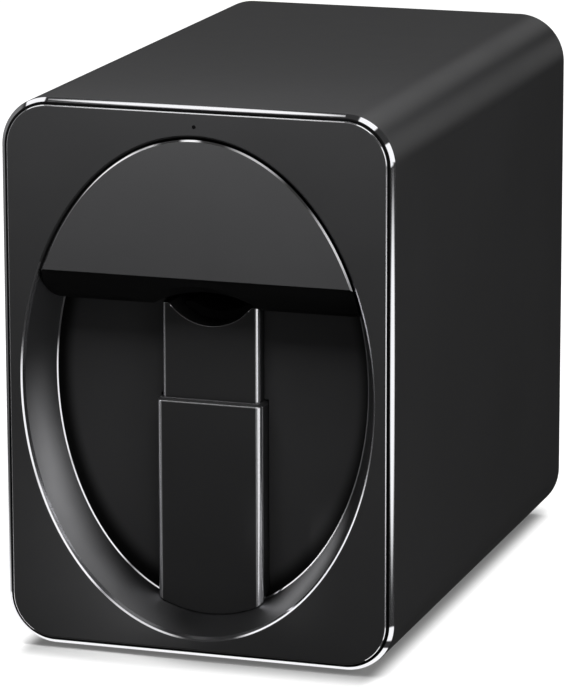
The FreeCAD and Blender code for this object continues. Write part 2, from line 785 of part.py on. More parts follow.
def make_recess_bezel():
    """Moulded cone of the recess, its mounting flange and the skirt that meets the back wall."""
    flange_front = panel_thickness
    flange = new_body("bezel_flange_blank")
    low = up(shell_wall + panel_gap)
    high = inner_top - panel_gap
    corner = body_corner - shell_wall - panel_gap

    def outline(sketch):
        draw_rounded(sketch, (-panel_half_width, panel_half_width), (low, high), corner)
        draw_circle(sketch, ZERO, up(indicator_height), indicator_radius + screw_fit)

    pad(flange, "XZ", at(flange_front), at(flange_front + bezel_flange), outline)
    outer = loft("bezel_outer", [
        recess_section("bezel_outer_0", flange_front, -bezel_wall),
        recess_section("bezel_outer_1", throat_depth, -bezel_wall),
    ])
    inner = loft("bezel_inner", [
        recess_section("bezel_inner_0", flange_front - overrun),
        recess_section("bezel_inner_1", throat_depth + throat_lip),
    ])
    skirt_inset = -(throat_undercut + bezel_wall)
    throat_w, throat_h = opening_half(throat_depth)
    skirt_w, skirt_h = opening_half(throat_depth, skirt_inset)
    skirt_start = throat_depth - bezel_wall
    skirt = loft("bezel_skirt", [
        ellipse("bezel_skirt_0", skirt_w, skirt_h, at(skirt_start), aperture_z),
        ellipse("bezel_skirt_1", skirt_w, skirt_h, at(back_wall_depth), aperture_z),
    ])
    hollow_w = throat_w + throat_undercut
    hollow_h = throat_h + throat_undercut
    hollow = loft("bezel_hollow", [
        ellipse("bezel_hollow_0", hollow_w, hollow_h, at(throat_depth + throat_lip), aperture_z),
        ellipse("bezel_hollow_1", hollow_w, hollow_h, at(back_wall_depth + overrun), aperture_z),
    ])
    solid = fuse("bezel_solid", flange, outer, skirt)
    return finish(cut("recess_bezel", solid, inner, hollow), "recess_bezel")


def make_back_wall():
    """Rear wall of the recess: closed below, with a stepped slot and an open cartridge bay."""
    front = back_wall_depth
    back = back_wall_depth + back_wall_thickness
    half_width, half_height = opening_half(throat_depth, -(throat_undercut + bezel_wall))
    plate = loft("back_wall_plate", [
        ellipse("back_wall_0", half_width, half_height, at(front), aperture_z),
        ellipse("back_wall_1", half_width, half_height, at(back), aperture_z),
    ])
    reach = (at(front - overrun), at(back + overrun))
    sleeve_half = sleeve_width / 2 + rest_clearance
    rest_half = rest_half_width + rest_clearance
    sleeve_end = up(sleeve_top_height) + rest_clearance
    bay_floor = up(hood_bottom_height) + hood_wall
    sky = up(body_height)
    wide_slot = block("back_wall_wide_slot", (-sleeve_half, sleeve_half), reach, (foot_height, sleeve_end))
    slim_slot = block("back_wall_slim_slot", (-rest_half, rest_half), reach, (foot_height, sky))
    bay = block("back_wall_bay", (-bay_half_width, bay_half_width), reach, (bay_floor, sky))
    # The slots end on the curve of the recess; the way of the finger rest reaches its lowest place.
    slot_floor = loft("back_wall_slot_floor", [
        recess_section("back_wall_slot_0", front - overrun),
        recess_section("back_wall_slot_1", back + overrun),
    ])
    above = block("back_wall_slot_top", (-half_body, half_body), reach, (aperture_z, sky))
    slot_zone = fuse("back_wall_slot_zone", slot_floor, above)
    curved_slots = common("back_wall_curved_slots", fuse("back_wall_openings", wide_slot, slim_slot, bay), slot_zone)
    rest_way = block("back_wall_rest_way", (-rest_half, rest_half), reach, (sleeve_floor_z, aperture_z))
    slots = fuse("back_wall_slots", curved_slots, rest_way)
    seats = [
        rod(
            f"catch_seat_{index}",
            magnet_radius + screw_fit,
            "y",
            (side * magnet_spacing / 2, up(magnet_height)),
            at(front - overrun),
            at(front + catch_thickness),
        )
        for index, side in enumerate((-1, 1))
    ]
    wall = cut("recess_back_wall", plate, slots, *seats)
    return finish(wall, "recess_back_wall")


def make_catch_plates():
    """Steel discs that the hood's magnets hold to."""
    start = at(back_wall_depth)
    discs = [
        rod(
            f"catch_{index}",
            magnet_radius,
            "y",
            (side * magnet_spacing / 2, up(magnet_height)),
            start,
            start + catch_thickness,
        )
        for index, side in enumerate((-1, 1))
    ]
    return finish(group("catch_plates", discs), "catch_plates")


def make_status_light():
    """Thin light guide behind the pinhole, on its small board."""
    board_start = panel_thickness + bezel_flange
    guide = rod(
        "status_light",
        indicator_radius,
        "y",
        (ZERO, up(indicator_height)),
        at(panel_bevel),
        at(board_start),
    )
    finish(guide, "status_light")
    half = status_board_width / 2
    low = up(indicator_height - status_board_drop)
    board = prism(
        "status_board",
        "XZ",
        at(board_start),
        at(board_start) + board_thickness,
        lambda sketch: draw_rounded(sketch, (-half, half), (low, inner_top - panel_gap), board_corner),
    )
    return finish(board, "status_board")


# ---------------------------------------------------------------- hood
roll_z = up(hood_bottom_height) + hood_roll_radius


def under_roll(name, radius, centre_depth, lip, edge_z):
    """Side profile above the hood's rolled underside, extruded across the housing."""
    run = centre_depth - lip
    centre_y = at(centre_depth)
    lip_z = roll_z - root(radius * radius - run * run)
    sky = up(body_height)
    body = new_body(name)
    sketch = new_sketch(body, "YZ", -half_body)
    lip_point = (at(lip), lip_z)
    face_point = (front_y, edge_z)
    foot_point = (centre_y, roll_z - radius)
    back = at(hood_depth + 2 * overrun)
    ahead = front_y - 2 * overrun
    path = [
        (foot_point, (back, roll_z - radius)),
        ((back, roll_z - radius), (back, sky)),
        ((back, sky), (ahead, sky)),
        ((ahead, sky), (ahead, edge_z)),
        ((ahead, edge_z), face_point),
        (face_point, lip_point),
    ]
    for start, end in path:
        begin = Vector(as_size(start[0]).value, as_size(start[1]).value, 0)
        stop = Vector(as_size(end[0]).value, as_size(end[1]).value, 0)
        sketch.addGeometry(Part.LineSegment(begin, stop), False)
    circle = Part.Circle(Vector(centre_y.value, roll_z.value, 0), Vector(0, 0, 1), radius.value)
    angle = math.atan2(lip_z.value - roll_z.value, -run.value)
    sketch.addGeometry(Part.ArcOfCircle(circle, angle, -math.pi / 2), False)
    count = len(path)
    for index in range(count - 1):
        sketch.addConstraint(Sketcher.Constraint("Coincident", index, 2, index + 1, 1))
    sketch.addConstraint(Sketcher.Constraint("Coincident", count - 1, 2, count, 1))
    sketch.addConstraint(Sketcher.Constraint("Coincident", count, 2, 0, 1))
    for index, (start, end) in enumerate(path):
        pin_point(sketch, index, 1, start[0], start[1])
    dimension(sketch, "DistanceX", -1, 1, count - 1, 2, lip_point[0])
    pin_point(sketch, count, 3, centre_y, roll_z)
    feature = body.newObject("PartDesign::Pad", name + "_pad")
    feature.Profile = sketch
    bind(feature, "Length", body_width)
    body.Tip = feature
    return body


def arch_tool(name, grow, end_depth):
    """Funnel-shaped finger tunnel: ruled through circles that sink and widen going in."""
    slope = arch_apex_drop / arch_funnel_length
    radius_step = (arch_throat_radius - arch_mouth_radius) / arch_funnel_length
    sections = []
    places = [(-hood_lip, -hood_lip), (arch_funnel_length, arch_funnel_length),
              (end_depth, arch_funnel_length)]
    for index, (depth, level) in enumerate(places):
        radius = arch_mouth_radius + radius_step * level + grow
        apex = up(arch_apex_height) - slope * level + grow
        ring = doc.addObject("Part::Circle", f"{name}_{index}")
        bind(ring, "Radius", radius)
        sections.append(move(ring, ZERO, at(depth), apex - radius, TURN_TO["y"]))
    return loft(name, sections)


def hood_form(name, places, radius, centre_depth, lip, edge_z):
    """Elliptical plug through sections of the recess, trimmed by the rolled underside."""
    sections = [
        recess_section(f"{name}_{index}", depth, hood_gap + inset)
        for index, (depth, inset) in enumerate(places)
    ]
    profile = under_roll(name + "_profile", radius, centre_depth, lip, edge_z)
    return common(name, loft(name + "_plug", sections), profile)


def make_hood():
    """Half-moon cover with rolled underside, finger arch and magnet bosses."""
    outer = hood_form(
        "hood_outer",
        [(ZERO, hood_bevel), (hood_bevel, ZERO), (hood_depth, ZERO)],
        radius=hood_roll_radius,
        centre_depth=hood_depth,
        lip=hood_lip,
        edge_z=up(hood_edge_height),
    )
    inner = hood_form(
        "hood_inner",
        [(hood_wall, hood_wall), (hood_depth + overrun, hood_wall)],
        radius=hood_roll_radius - hood_wall,
        centre_depth=back_wall_depth,
        lip=1.5 * hood_wall,
        edge_z=up(hood_edge_height) + hood_wall,
    )
    reach = hood_depth + 2 * overrun
    lining = arch_tool("hood_lining", lining_wall, reach)
    bosses = []
    seats = []
    for index, side in enumerate((-1, 1)):
        place = (side * magnet_spacing / 2, up(magnet_height))
        bosses.append(rod(f"hood_boss_{index}", magnet_radius + lining_wall, "y", place, front_y, at(reach)))
        seat_start = at(hood_depth - magnet_length)
        seat_radius = magnet_radius + screw_fit
        seats.append(rod(f"hood_seat_{index}", seat_radius, "y", place, seat_start, at(reach)))
    hollow = keep_seams(cut("hood_hollow", inner, lining, *bosses))
    skin = keep_seams(cut("hood_skin", outer, hollow))
    tunnel = arch_tool("hood_tunnel", ZERO, reach)
    notch_half = rest_half_width + 2 * rest_clearance
    notch = block(
        "hood_notch",
        (-notch_half, notch_half),
        (at(rest_face_depth - 2 * rest_clearance), at(hood_depth + overrun)),
        (foot_height, up(arch_apex_height - arch_apex_drop)),
    )
    hood = cut("hood_cover", skin, tunnel, notch, *seats)
    return finish(hood, "hood_cover")


def make_hood_magnets():
    """Disc magnets in the back of the hood."""
    discs = [
        rod(
            f"magnet_{index}",
            magnet_radius,
            "y",
            (side * magnet_spacing / 2, up(magnet_height)),
            at(hood_depth - magnet_length),
            at(hood_depth),
        )
        for index, side in enumerate((-1, 1))
    ]
    return finish(group("hood_magnets", discs), "hood_magnets")


# ---------------------------------------------------------------- finger rest
sleeve_half = sleeve_width / 2
sleeve_floor_z = up(sleeve_floor_height)
rest_top_z = up(rest_top_height)
spring_base_z = sleeve_floor_z + spring_seat_gap
web_z = spring_base_z + spring_length + spring_seat_gap
rest_base_z = sleeve_floor_z + rest_travel + rest_clearance
rest_mid_y = at(rest_face_depth + rest_length / 2)


def make_rest_sleeve():
    """Fixed guide: front shroud that follows the recess cone, and a foot on the base plate."""
    wall_back = back_wall_depth + back_wall_thickness + rest_clearance
    top = up(sleeve_top_height)
    raw = new_body("rest_sleeve_blank")
    y_span = (at(sleeve_face_depth), at(sleeve_rear_depth))
    pad(
        raw,
        "XY",
        up(base_top_height),
        top,
        lambda sketch: draw_rounded(sketch, (-sleeve_half, sleeve_half), y_span, sleeve_corner),
    )
    dress(raw, "Chamfer", sleeve_top_bevel, lambda box: near(box.ZMin, top) and near(box.ZMax, top))
    front_zone = loft("rest_sleeve_front_zone", [
        recess_section("rest_sleeve_zone_0", sleeve_face_depth - overrun, rest_clearance),
        recess_section("rest_sleeve_zone_1", wall_back + overrun, rest_clearance),
    ])
    rear_zone = block(
        "rest_sleeve_rear_zone",
        (-half_body, half_body),
        (at(wall_back), at(sleeve_rear_depth + overrun)),
        (foot_height, up(body_height)),
    )
    zone = fuse("rest_sleeve_zone", front_zone, rear_zone)
    outside = common("rest_sleeve_outside", raw, zone)
    inner_half = rest_half_width + rest_clearance
    y_inner = (at(rest_face_depth - rest_clearance), at(rest_face_depth + rest_length + rest_clearance))
    cavity = prism(
        "rest_sleeve_cavity",
        "XY",
        sleeve_floor_z,
        top + overrun,
        lambda sketch: draw_rounded(sketch, (-inner_half, inner_half), y_inner, rest_corner),
    )
    hollow = cut("rest_sleeve_hollow", outside, cavity)
    post = rod(
        "rest_sleeve_post",
        spigot_radius,
        "z",
        (ZERO, rest_mid_y),
        sleeve_floor_z - overrun,
        sleeve_floor_z + post_height,
    )
    return finish(fuse("rest_sleeve", hollow, post), "rest_sleeve")


def make_finger_rest():
    """Sliding column with a scooped top, hollow below, and a web that the spring pushes on."""
    body = new_body("finger_rest")
    y_span = (at(rest_face_depth), at(rest_face_depth + rest_length))
    scoop_centre_z = rest_top_z - scoop_depth + scoop_radius

    def outline(sketch):
        draw_rounded(sketch, (-rest_half_width, rest_half_width), y_span, rest_corner)

    pad(body, "XY", rest_base_z, rest_top_z, outline)
    pocket(
        body,
        "XZ",
        at(rest_face_depth - overrun),
        at(rest_face_depth + rest_length + overrun),
        lambda sketch: draw_circle(sketch, ZERO, scoop_centre_z, scoop_radius),
    )
    def on_shoulder(box):
        on_top = near(box.ZMin, rest_top_z) and near(box.ZMax, rest_top_z)
        runs_back = box.YLength > rest_length.value / 2
        at_scoop = near(max(abs(box.XMin), abs(box.XMax)), half_scoop)
        return on_top and runs_back and at_scoop

    dress(body, "Fillet", scoop_shoulder, on_shoulder)
    hollow_half = rest_half_width - rest_wall
    y_hollow = (at(rest_face_depth + rest_wall), at(rest_face_depth + rest_length - rest_wall))
    hollow_top = rest_top_z - scoop_depth - rest_wall
    pocket(
        body,
        "XY",
        rest_base_z,
        hollow_top,
        lambda sketch: draw_rectangle(sketch, (-hollow_half, hollow_half), y_hollow),
    )
    web_reach = spring_radius + 2 * spring_wire
    y_web = (rest_mid_y - web_reach, rest_mid_y + web_reach)
    pad(
        body,
        "XY",
        web_z,
        web_z + web_thickness,
        lambda sketch: draw_rectangle(sketch, (-hollow_half, hollow_half), y_web),
    )
    pad(
        body,
        "XY",
        web_z - spigot_length,
        web_z,
        lambda sketch: draw_circle(sketch, ZERO, rest_mid_y, spigot_radius),
    )
    return finish(body, "finger_rest")


def make_finger_pad():
    """Soft cradle in the rear of the scoop, thickest in the middle."""
    scoop_centre_z = rest_top_z - scoop_depth + scoop_radius
    hollow_z = scoop_centre_z + pad_thickness
    start = at(rest_face_depth + pad_setback)
    end = at(rest_face_depth + rest_length - rest_wall / 2)
    crescent = cut(
        "finger_pad_ring",
        rod("finger_pad_outside", scoop_radius, "y", (ZERO, scoop_centre_z), start, end),
        rod("finger_pad_inside", scoop_radius, "y", (ZERO, hollow_z), start - overrun, end + overrun),
    )
    z_span = (rest_top_z - scoop_depth - overrun, rest_top_z - pad_top_drop)
    trim = block("finger_pad_trim", (-pad_half_width, pad_half_width), (start, end), z_span)
    return finish(common("finger_pad", crescent, trim), "finger_pad")


def make_rest_spring():
    """Compression spring between the sleeve's floor and the finger rest's web."""
    coil = doc.addObject("Part::Helix", "rest_spring_path")
    pitch = (spring_length - 2 * spring_wire) / spring_turns
    bind(coil, "Pitch", pitch)
    bind(coil, "Height", spring_length - 2 * spring_wire)
    bind(coil, "Radius", spring_radius)
    move(coil, ZERO, rest_mid_y, spring_base_z + spring_wire)
    wire = doc.addObject("Part::Circle", "rest_spring_wire")
    bind(wire, "Radius", spring_wire)
    move(wire, spring_radius, rest_mid_y, spring_base_z + spring_wire, Rotation(Vector(1, 0, 0), 90))
    sweep = doc.addObject("Part::Sweep", "rest_spring")
    sweep.Sections = [wire]
    sweep.Spine = (coil, ["Edge1"])
    sweep.Solid = True
    sweep.Frenet = True
    return finish(sweep, "rest_spring")


# ---------------------------------------------------------------- inner frame
frame_front_depth = back_wall_depth + back_wall_thickness + base_setback
frame_rear_depth = rear_bulkhead_depth + bulkhead_thickness


def make_base_plate():
    """Tray that stands on four bosses on the housing's floor."""
    body = new_body("base_plate")
    half = half_frame + frame_thickness
    y_span = (at(frame_front_depth), at(rear_wall_depth - base_rear_gap))

    def outline(sketch):
        draw_rounded(sketch, (-half, half), y_span, base_corner)
        for x, y in foot_places:
            draw_circle(sketch, x, y, screw_radius + screw_fit)

    def bosses(sketch):
        for x, y in foot_places:
            draw_circle(sketch, x, y, foot_radius)
            draw_circle(sketch, x, y, screw_radius + screw_fit)

    pad(body, "XY", up(base_plate_height), up(base_top_height), outline)
    pad(body, "XY", up(shell_wall), up(base_plate_height), bosses)
    return finish(body, "base_plate")


def make_side_frame(label, side):
    """Side plate with lightening windows and a cut-away upper front corner."""
    inner = side * half_frame
    outer = side * (half_frame + frame_thickness)
    x_span = (inner, outer) if side > 0 else (outer, inner)
    front = at(frame_front_depth)
    middle = at(front_bulkhead_depth)
    rear = at(frame_rear_depth)
    base = up(base_top_height)
    top = up(frame_top_height)
    shoulder = up(frame_shoulder_height)
    neck = shoulder + frame_rib

    def outline(sketch):
        draw_polygon(
            sketch,
            [(front, base), (rear, base), (rear, top), (middle, top), (middle, neck), (front, shoulder)],
        )

    def windows(sketch):
        y_span = (middle + frame_rib, rear - 2 * frame_rib)
        draw_rounded(sketch, y_span, (base + frame_rib, shoulder), frame_rib / 2)
        shelf_base = up(shelf_height) - shelf_thickness
        draw_rounded(sketch, y_span, (neck, shelf_base), frame_rib / 2)

    body = prism(label, "YZ", x_span[0], x_span[1], outline)
    pocket(body, "YZ", x_span[0], x_span[1], windows)
    return finish(body, label)


long_rod_z = up(long_rod_height)
lead_screw_z = up(lead_screw_height)


def make_front_bulkhead():
    """Cross plate with a U-shaped notch for the carriage and seats for the long rods."""
    notch = gantry_block_inner
    side = half_frame
    base = up(shelf_height) - bulkhead_drop
    notch_z = up(nozzle_height) - notch_clearance
    top = up(frame_top_height)

    def outline(sketch):
        draw_polygon(
            sketch,
            [(-side, base), (side, base), (side, top), (notch, top), (notch, notch_z),
             (-notch, notch_z), (-notch, top), (-side, top)],
        )
        for x in (-long_rod_x, long_rod_x):
            draw_circle(sketch, x, long_rod_z, rod_radius + rod_fit)
        draw_circle(sketch, long_rod_x, lead_screw_z, lead_screw_radius + rod_fit)

    start = at(front_bulkhead_depth)
    body = prism("front_bulkhead", "XZ", start, start + bulkhead_thickness, outline)
    return finish(body, "front_bulkhead")


rear_post_places = [
    (x, z)
    for x in (-long_rod_x, long_rod_x)
    for z in (up(rear_post_low), lead_screw_z - motor_radius - 2 * rear_post_radius)
]


def make_rear_bulkhead():
    """Cross plate that carries the rods, the lead screw motor and the rear cover's posts."""
    side = half_frame
    base = up(rear_bulkhead_base)
    top = up(frame_top_height)

    def outline(sketch):
        draw_rectangle(sketch, (-side, side), (base, top))
        for x in (-long_rod_x, long_rod_x):
            draw_circle(sketch, x, long_rod_z, rod_radius + rod_fit)
        draw_circle(sketch, long_rod_x, lead_screw_z, lead_screw_radius + rod_fit)
        for x, z in rear_post_places:
            draw_circle(sketch, x, z, screw_radius + screw_fit)
        x_span = (-half_frame + rear_window_margin, half_frame - rear_window_margin)
        draw_rounded(sketch, x_span, (base + frame_rib, up(shelf_height)), rear_window_corner)

    start = at(rear_bulkhead_depth)
    body = prism("rear_bulkhead", "XZ", start, start + bulkhead_thickness, outline)
    return finish(body, "rear_bulkhead")


def make_long_rods():
    """Guide rods of the gantry, front to back."""
    for label, side in (("left_guide_rod", -1), ("right_guide_rod", 1)):
        bar = rod(
            label,
            rod_radius,
            "y",
            (side * long_rod_x, long_rod_z),
            at(front_bulkhead_depth),
            at(frame_rear_depth),
        )
        finish(bar, label)


def make_lead_screw():
    """Screw that drives the gantry, with a plain journal at each end."""
    screw = rod(
        "lead_screw",
        lead_screw_radius,
        "y",
        (long_rod_x, lead_screw_z),
        at(front_bulkhead_depth),
        at(frame_rear_depth) + motor_length / 2,
    )
    return finish(screw, "lead_screw")


def motor_shape(name, axis_place, start, end, bore_radius, bore_start, bore_end):
    """Round motor can with a bore for its shaft."""
    can = rod(name + "_can", motor_radius, "y", axis_place, start, end)
    bore = rod(name + "_bore", bore_radius, "y", axis_place, bore_start, bore_end)
    return cut(name, can, bore)


def make_feed_motor():
    """Motor behind the rear bulkhead that turns the lead screw."""
    start = at(frame_rear_depth)
    end = start + motor_length
    bore = lead_screw_radius + rod_fit
    place = (long_rod_x, lead_screw_z)
    bore_end = start + motor_length / 2 + overrun
    motor = motor_shape("feed_motor", place, start, end, bore, start - overrun, bore_end)
    return finish(motor, "feed_motor")


# ---------------------------------------------------------------- service station
shelf_top_z = up(shelf_height)


def make_service_shelf():
    """Shelf behind the front bulkhead that holds the cap and the wiper."""
    start = at(front_bulkhead_depth) + bulkhead_thickness
    end = start + shelf_length
    half = half_frame
    body = prism(
        "service_shelf",
        "XY",
        shelf_top_z - shelf_thickness,
        shelf_top_z,
        lambda sketch: draw_rectangle(sketch, (-half, half), (start, end)),
    )
    return finish(body, "service_shelf")


nozzle_z = up(nozzle_height)
nozzle_y = at(cartridge_front_depth + nose_length / 2)


def cap_spans(inset):
    """Spans of a rectangle that lies an inset inside the cartridge's nose, seen from above."""
    half_x = half_cartridge - inset
    half_y = nose_length / 2 - inset / 2
    return (-half_x, half_x), (nozzle_y - half_y, nozzle_y + half_y)


def make_cap_holder():
    """Pillar under the parked print head."""
    body = prism(
        "cap_holder",
        "XY",
        shelf_top_z,
        nozzle_z - cap_height,
        lambda sketch: draw_rounded(sketch, *cap_spans(cap_inset - cap_holder_rim), 2 * cap_lip),
    )
    return finish(body, "cap_holder")


def make_cap_pad():
    """Rubber cap with a raised lip round the nozzles."""
    low = nozzle_z - cap_height
    top = nozzle_z - cartridge_gap
    x_span, y_span = cap_spans(cap_inset)
    body = prism("cap_pad", "XY", low, top, lambda sketch: draw_rounded(sketch, x_span, y_span, cap_lip))
    x_inside = (x_span[0] + cap_lip, x_span[1] - cap_lip)
    y_inside = (y_span[0] + cap_lip, y_span[1] - cap_lip)
    pocket(
        body,
        "XY",
        low + cap_lip,
        top,
        lambda sketch: draw_rounded(sketch, x_inside, y_inside, cap_lip / 2),
    )
    return finish(body, "cap_pad")


def make_wiper():
    """Rubber blade behind the cap that wipes the nozzle plate."""
    half_x = half_cartridge - cap_inset + cap_holder_rim
    start = nozzle_y + nose_length / 2 + wiper_gap
    end = start + wiper_foot
    middle = start + wiper_foot / 2
    low = shelf_top_z
    knee = shelf_top_z + wiper_foot_height
    root_z = knee + wiper_foot / 2
    top = nozzle_z - cartridge_gap

    def outline(sketch):
        draw_polygon(
            sketch,
            [(start, low), (end, low), (end, knee), (middle + wiper_blade, root_z),
             (middle + wiper_blade / 2, top), (middle - wiper_blade / 2, top),
             (middle - wiper_blade, root_z), (start, knee)],
        )

    body = prism("nozzle_wiper", "YZ", -half_x, half_x, outline)
    return finish(body, "nozzle_wiper")


# ---------------------------------------------------------------- gantry
gantry_y = at(gantry_depth)
beam_y = gantry_y + gantry_block_length
cross_rod_y = at(cross_rod_depth)
pulley_x = half_frame - pulley_side_gap
pulley_z = up(pulley_height)
pulley_y = at(pulley_depth)
ear_y = pulley_y - ear_gap - ear_thickness


def make_gantry_frame():
    """Two bored blocks joined by a rear beam, each with an ear for a belt wheel."""
    body = new_body("gantry_blank")
    low = up(gantry_block_base)
    high = pulley_z - motor_radius - motor_clearance
    beam_low = long_rod_z - beam_height / 2
    beam_high = long_rod_z + beam_height / 2

    def beam(sketch):
        draw_rectangle(sketch, (-gantry_block_outer, gantry_block_outer), (beam_low, beam_high))

    def blocks(sketch):
        draw_rectangle(sketch, (-gantry_block_outer, -gantry_block_inner), (low, high))
        draw_rectangle(sketch, (gantry_block_inner, gantry_block_outer), (low, high))

    def ears(sketch):
        reach = half_frame - motor_clearance - pulley_x
        for side in (-1, 1):
            draw_rounded(
                sketch,
                (side * pulley_x - reach, side * pulley_x + reach),
                (high - 2 * ear_corner, pulley_z + motor_radius),
                ear_corner,
            )

    def bores(sketch):
        for side in (-1, 1):
            draw_circle(sketch, side * long_rod_x, long_rod_z, bush_radius)
        draw_circle(sketch, long_rod_x, lead_screw_z, lead_screw_radius + rod_fit + bush_wall)

    def shaft_holes(sketch):
        draw_circle(sketch, -pulley_x, pulley_z, shaft_radius + 4 * rod_fit)
        draw_circle(sketch, pulley_x, pulley_z, shaft_radius)

    def wheel_room(sketch):
        low_room = pulley_z - pulley_radius - pulley_flange - ear_gap
        reach = gantry_block_outer + overrun
        draw_rectangle(sketch, (-reach, reach), (low_room, pulley_z))

    pad(body, "XZ", beam_y, beam_y + beam_thickness, beam)
    pad(body, "XZ", gantry_y, beam_y, blocks)
    pad(body, "XZ", ear_y, ear_y + ear_thickness, ears)
    pocket(body, "XZ", ear_y + ear_thickness, beam_y + beam_thickness, wheel_room)
    pocket(body, "XZ", gantry_y, beam_y + beam_thickness, bores)
    pocket(body, "XZ", ear_y, ear_y + ear_thickness, shaft_holes)
    seats = [
        rod(
            f"gantry_rod_hole_{index}",
            rod_radius,
            "x",
            (cross_rod_y, up(height)),
            -(gantry_block_inner + cross_rod_seat),
            gantry_block_inner + cross_rod_seat,
        )
        for index, height in enumerate((cross_rod_low, cross_rod_high))
    ]
    return finish(cut("gantry_frame", body, *seats), "gantry_frame")


def make_gantry_bushes():
    """Plain bearings of the gantry on the long rods, two to a rod."""
    length = gantry_block_length / 3
    spans = [(gantry_y, gantry_y + length), (beam_y - length, beam_y)]
    bushes = []
    for side in (-1, 1):
        for start, end in spans:
            name = f"gantry_bush_{len(bushes)}"
            place = (side * long_rod_x, long_rod_z)
            bushes.append(tube(name, bush_radius, rod_radius + rod_fit, "y", place, start, end))
    return finish(group("gantry_bushes", bushes), "gantry_bushes")


def make_lead_nut():
    """Flanged nut of the gantry on the lead screw."""
    place = (long_rod_x, lead_screw_z)
    hole = lead_screw_radius + rod_fit
    barrel = rod("lead_nut_barrel", hole + bush_wall, "y", place, gantry_y, beam_y)
    flange_start = gantry_y - nut_flange
    flange = rod("lead_nut_flange", hole + bush_wall + nut_flange, "y", place, flange_start, gantry_y)
    bore = rod("lead_nut_bore", hole, "y", place, flange_start - overrun, beam_y + overrun)
    return finish(cut("lead_nut", fuse("lead_nut_solid", barrel, flange), bore), "lead_nut")


def make_cross_rods():
    """Guide rods of the carriage, side to side."""
    reach = gantry_block_inner + cross_rod_seat
    for label, height in (("lower_cross_rod", cross_rod_low), ("upper_cross_rod", cross_rod_high)):
        bar = rod(label, rod_radius, "x", (cross_rod_y, up(height)), -reach, reach)
        finish(bar, label)


def make_scan_motor():
    """Motor on the gantry's left ear that drives the belt."""
    place = (-pulley_x, pulley_z)
    end = ear_y
    start = end - motor_length
    bore = shaft_radius + rod_fit
    motor = motor_shape("scan_motor", place, start, end, bore, end - motor_length / 2, end + overrun)
    return finish(motor, "scan_motor")


def wheel(name, place, bore_radius):
    """Belt wheel with a flange on each side."""
    start = pulley_y - pulley_rim
    end = pulley_y + belt_width + pulley_rim
    flange_radius = pulley_radius + pulley_flange
    drum = rod(name + "_drum", pulley_radius, "y", place, start, end)
    front = rod(name + "_front", flange_radius, "y", place, start, pulley_y - rod_fit)
    back = rod(name + "_back", flange_radius, "y", place, pulley_y + belt_width + rod_fit, end)
    solid = fuse(name + "_solid", drum, front, back)
    if bore_radius is None:
        return solid
    hole = rod(name + "_hole", bore_radius, "y", place, start - overrun, end + overrun)
    return cut(name + "_bored", solid, hole)


def make_belt_drive():
    """Drive pulley on its shaft, idler on its pin, and the belt round both."""
    left = (-pulley_x, pulley_z)
    right = (pulley_x, pulley_z)
    shaft_start = ear_y - motor_length / 2 + rod_fit
    shaft = rod("drive_shaft", shaft_radius, "y", left, shaft_start, pulley_y + belt_width)
    finish(fuse("drive_pulley", wheel("drive_wheel", left, None), shaft), "drive_pulley")
    finish(wheel("idler_pulley", right, shaft_radius + rod_fit), "idler_pulley")
    pin = rod("idler_pin", shaft_radius, "y", right, ear_y, pulley_y + belt_width + ear_gap)
    finish(pin, "idler_pin")
    inside = pulley_radius + belt_gap
    outside = inside + belt_thickness

    def loop(sketch):
        for radius in (outside, inside):
            span_x = (-pulley_x - radius, pulley_x + radius)
            span_z = (pulley_z - radius, pulley_z + radius)
            draw_rounded(sketch, span_x, span_z, radius - rod_fit)

    belt = prism("scan_belt", "XZ", pulley_y, pulley_y + belt_width, loop)
    return finish(belt, "scan_belt")


# ---------------------------------------------------------------- carriage and cartridge
carriage_y = gantry_y
carriage_rear_y = carriage_y + carriage_block_length
cradle_low = up(cradle_floor_height)
cradle_top = cradle_low + cradle_floor
belt_run_z = pulley_z - pulley_radius - belt_gap - belt_thickness
latch_y = at(latch_pivot_depth)
latch_z = up(latch_pivot_height)
cartridge_y = at(cartridge_front_depth)
cartridge_rear_y = cartridge_y + cartridge_length


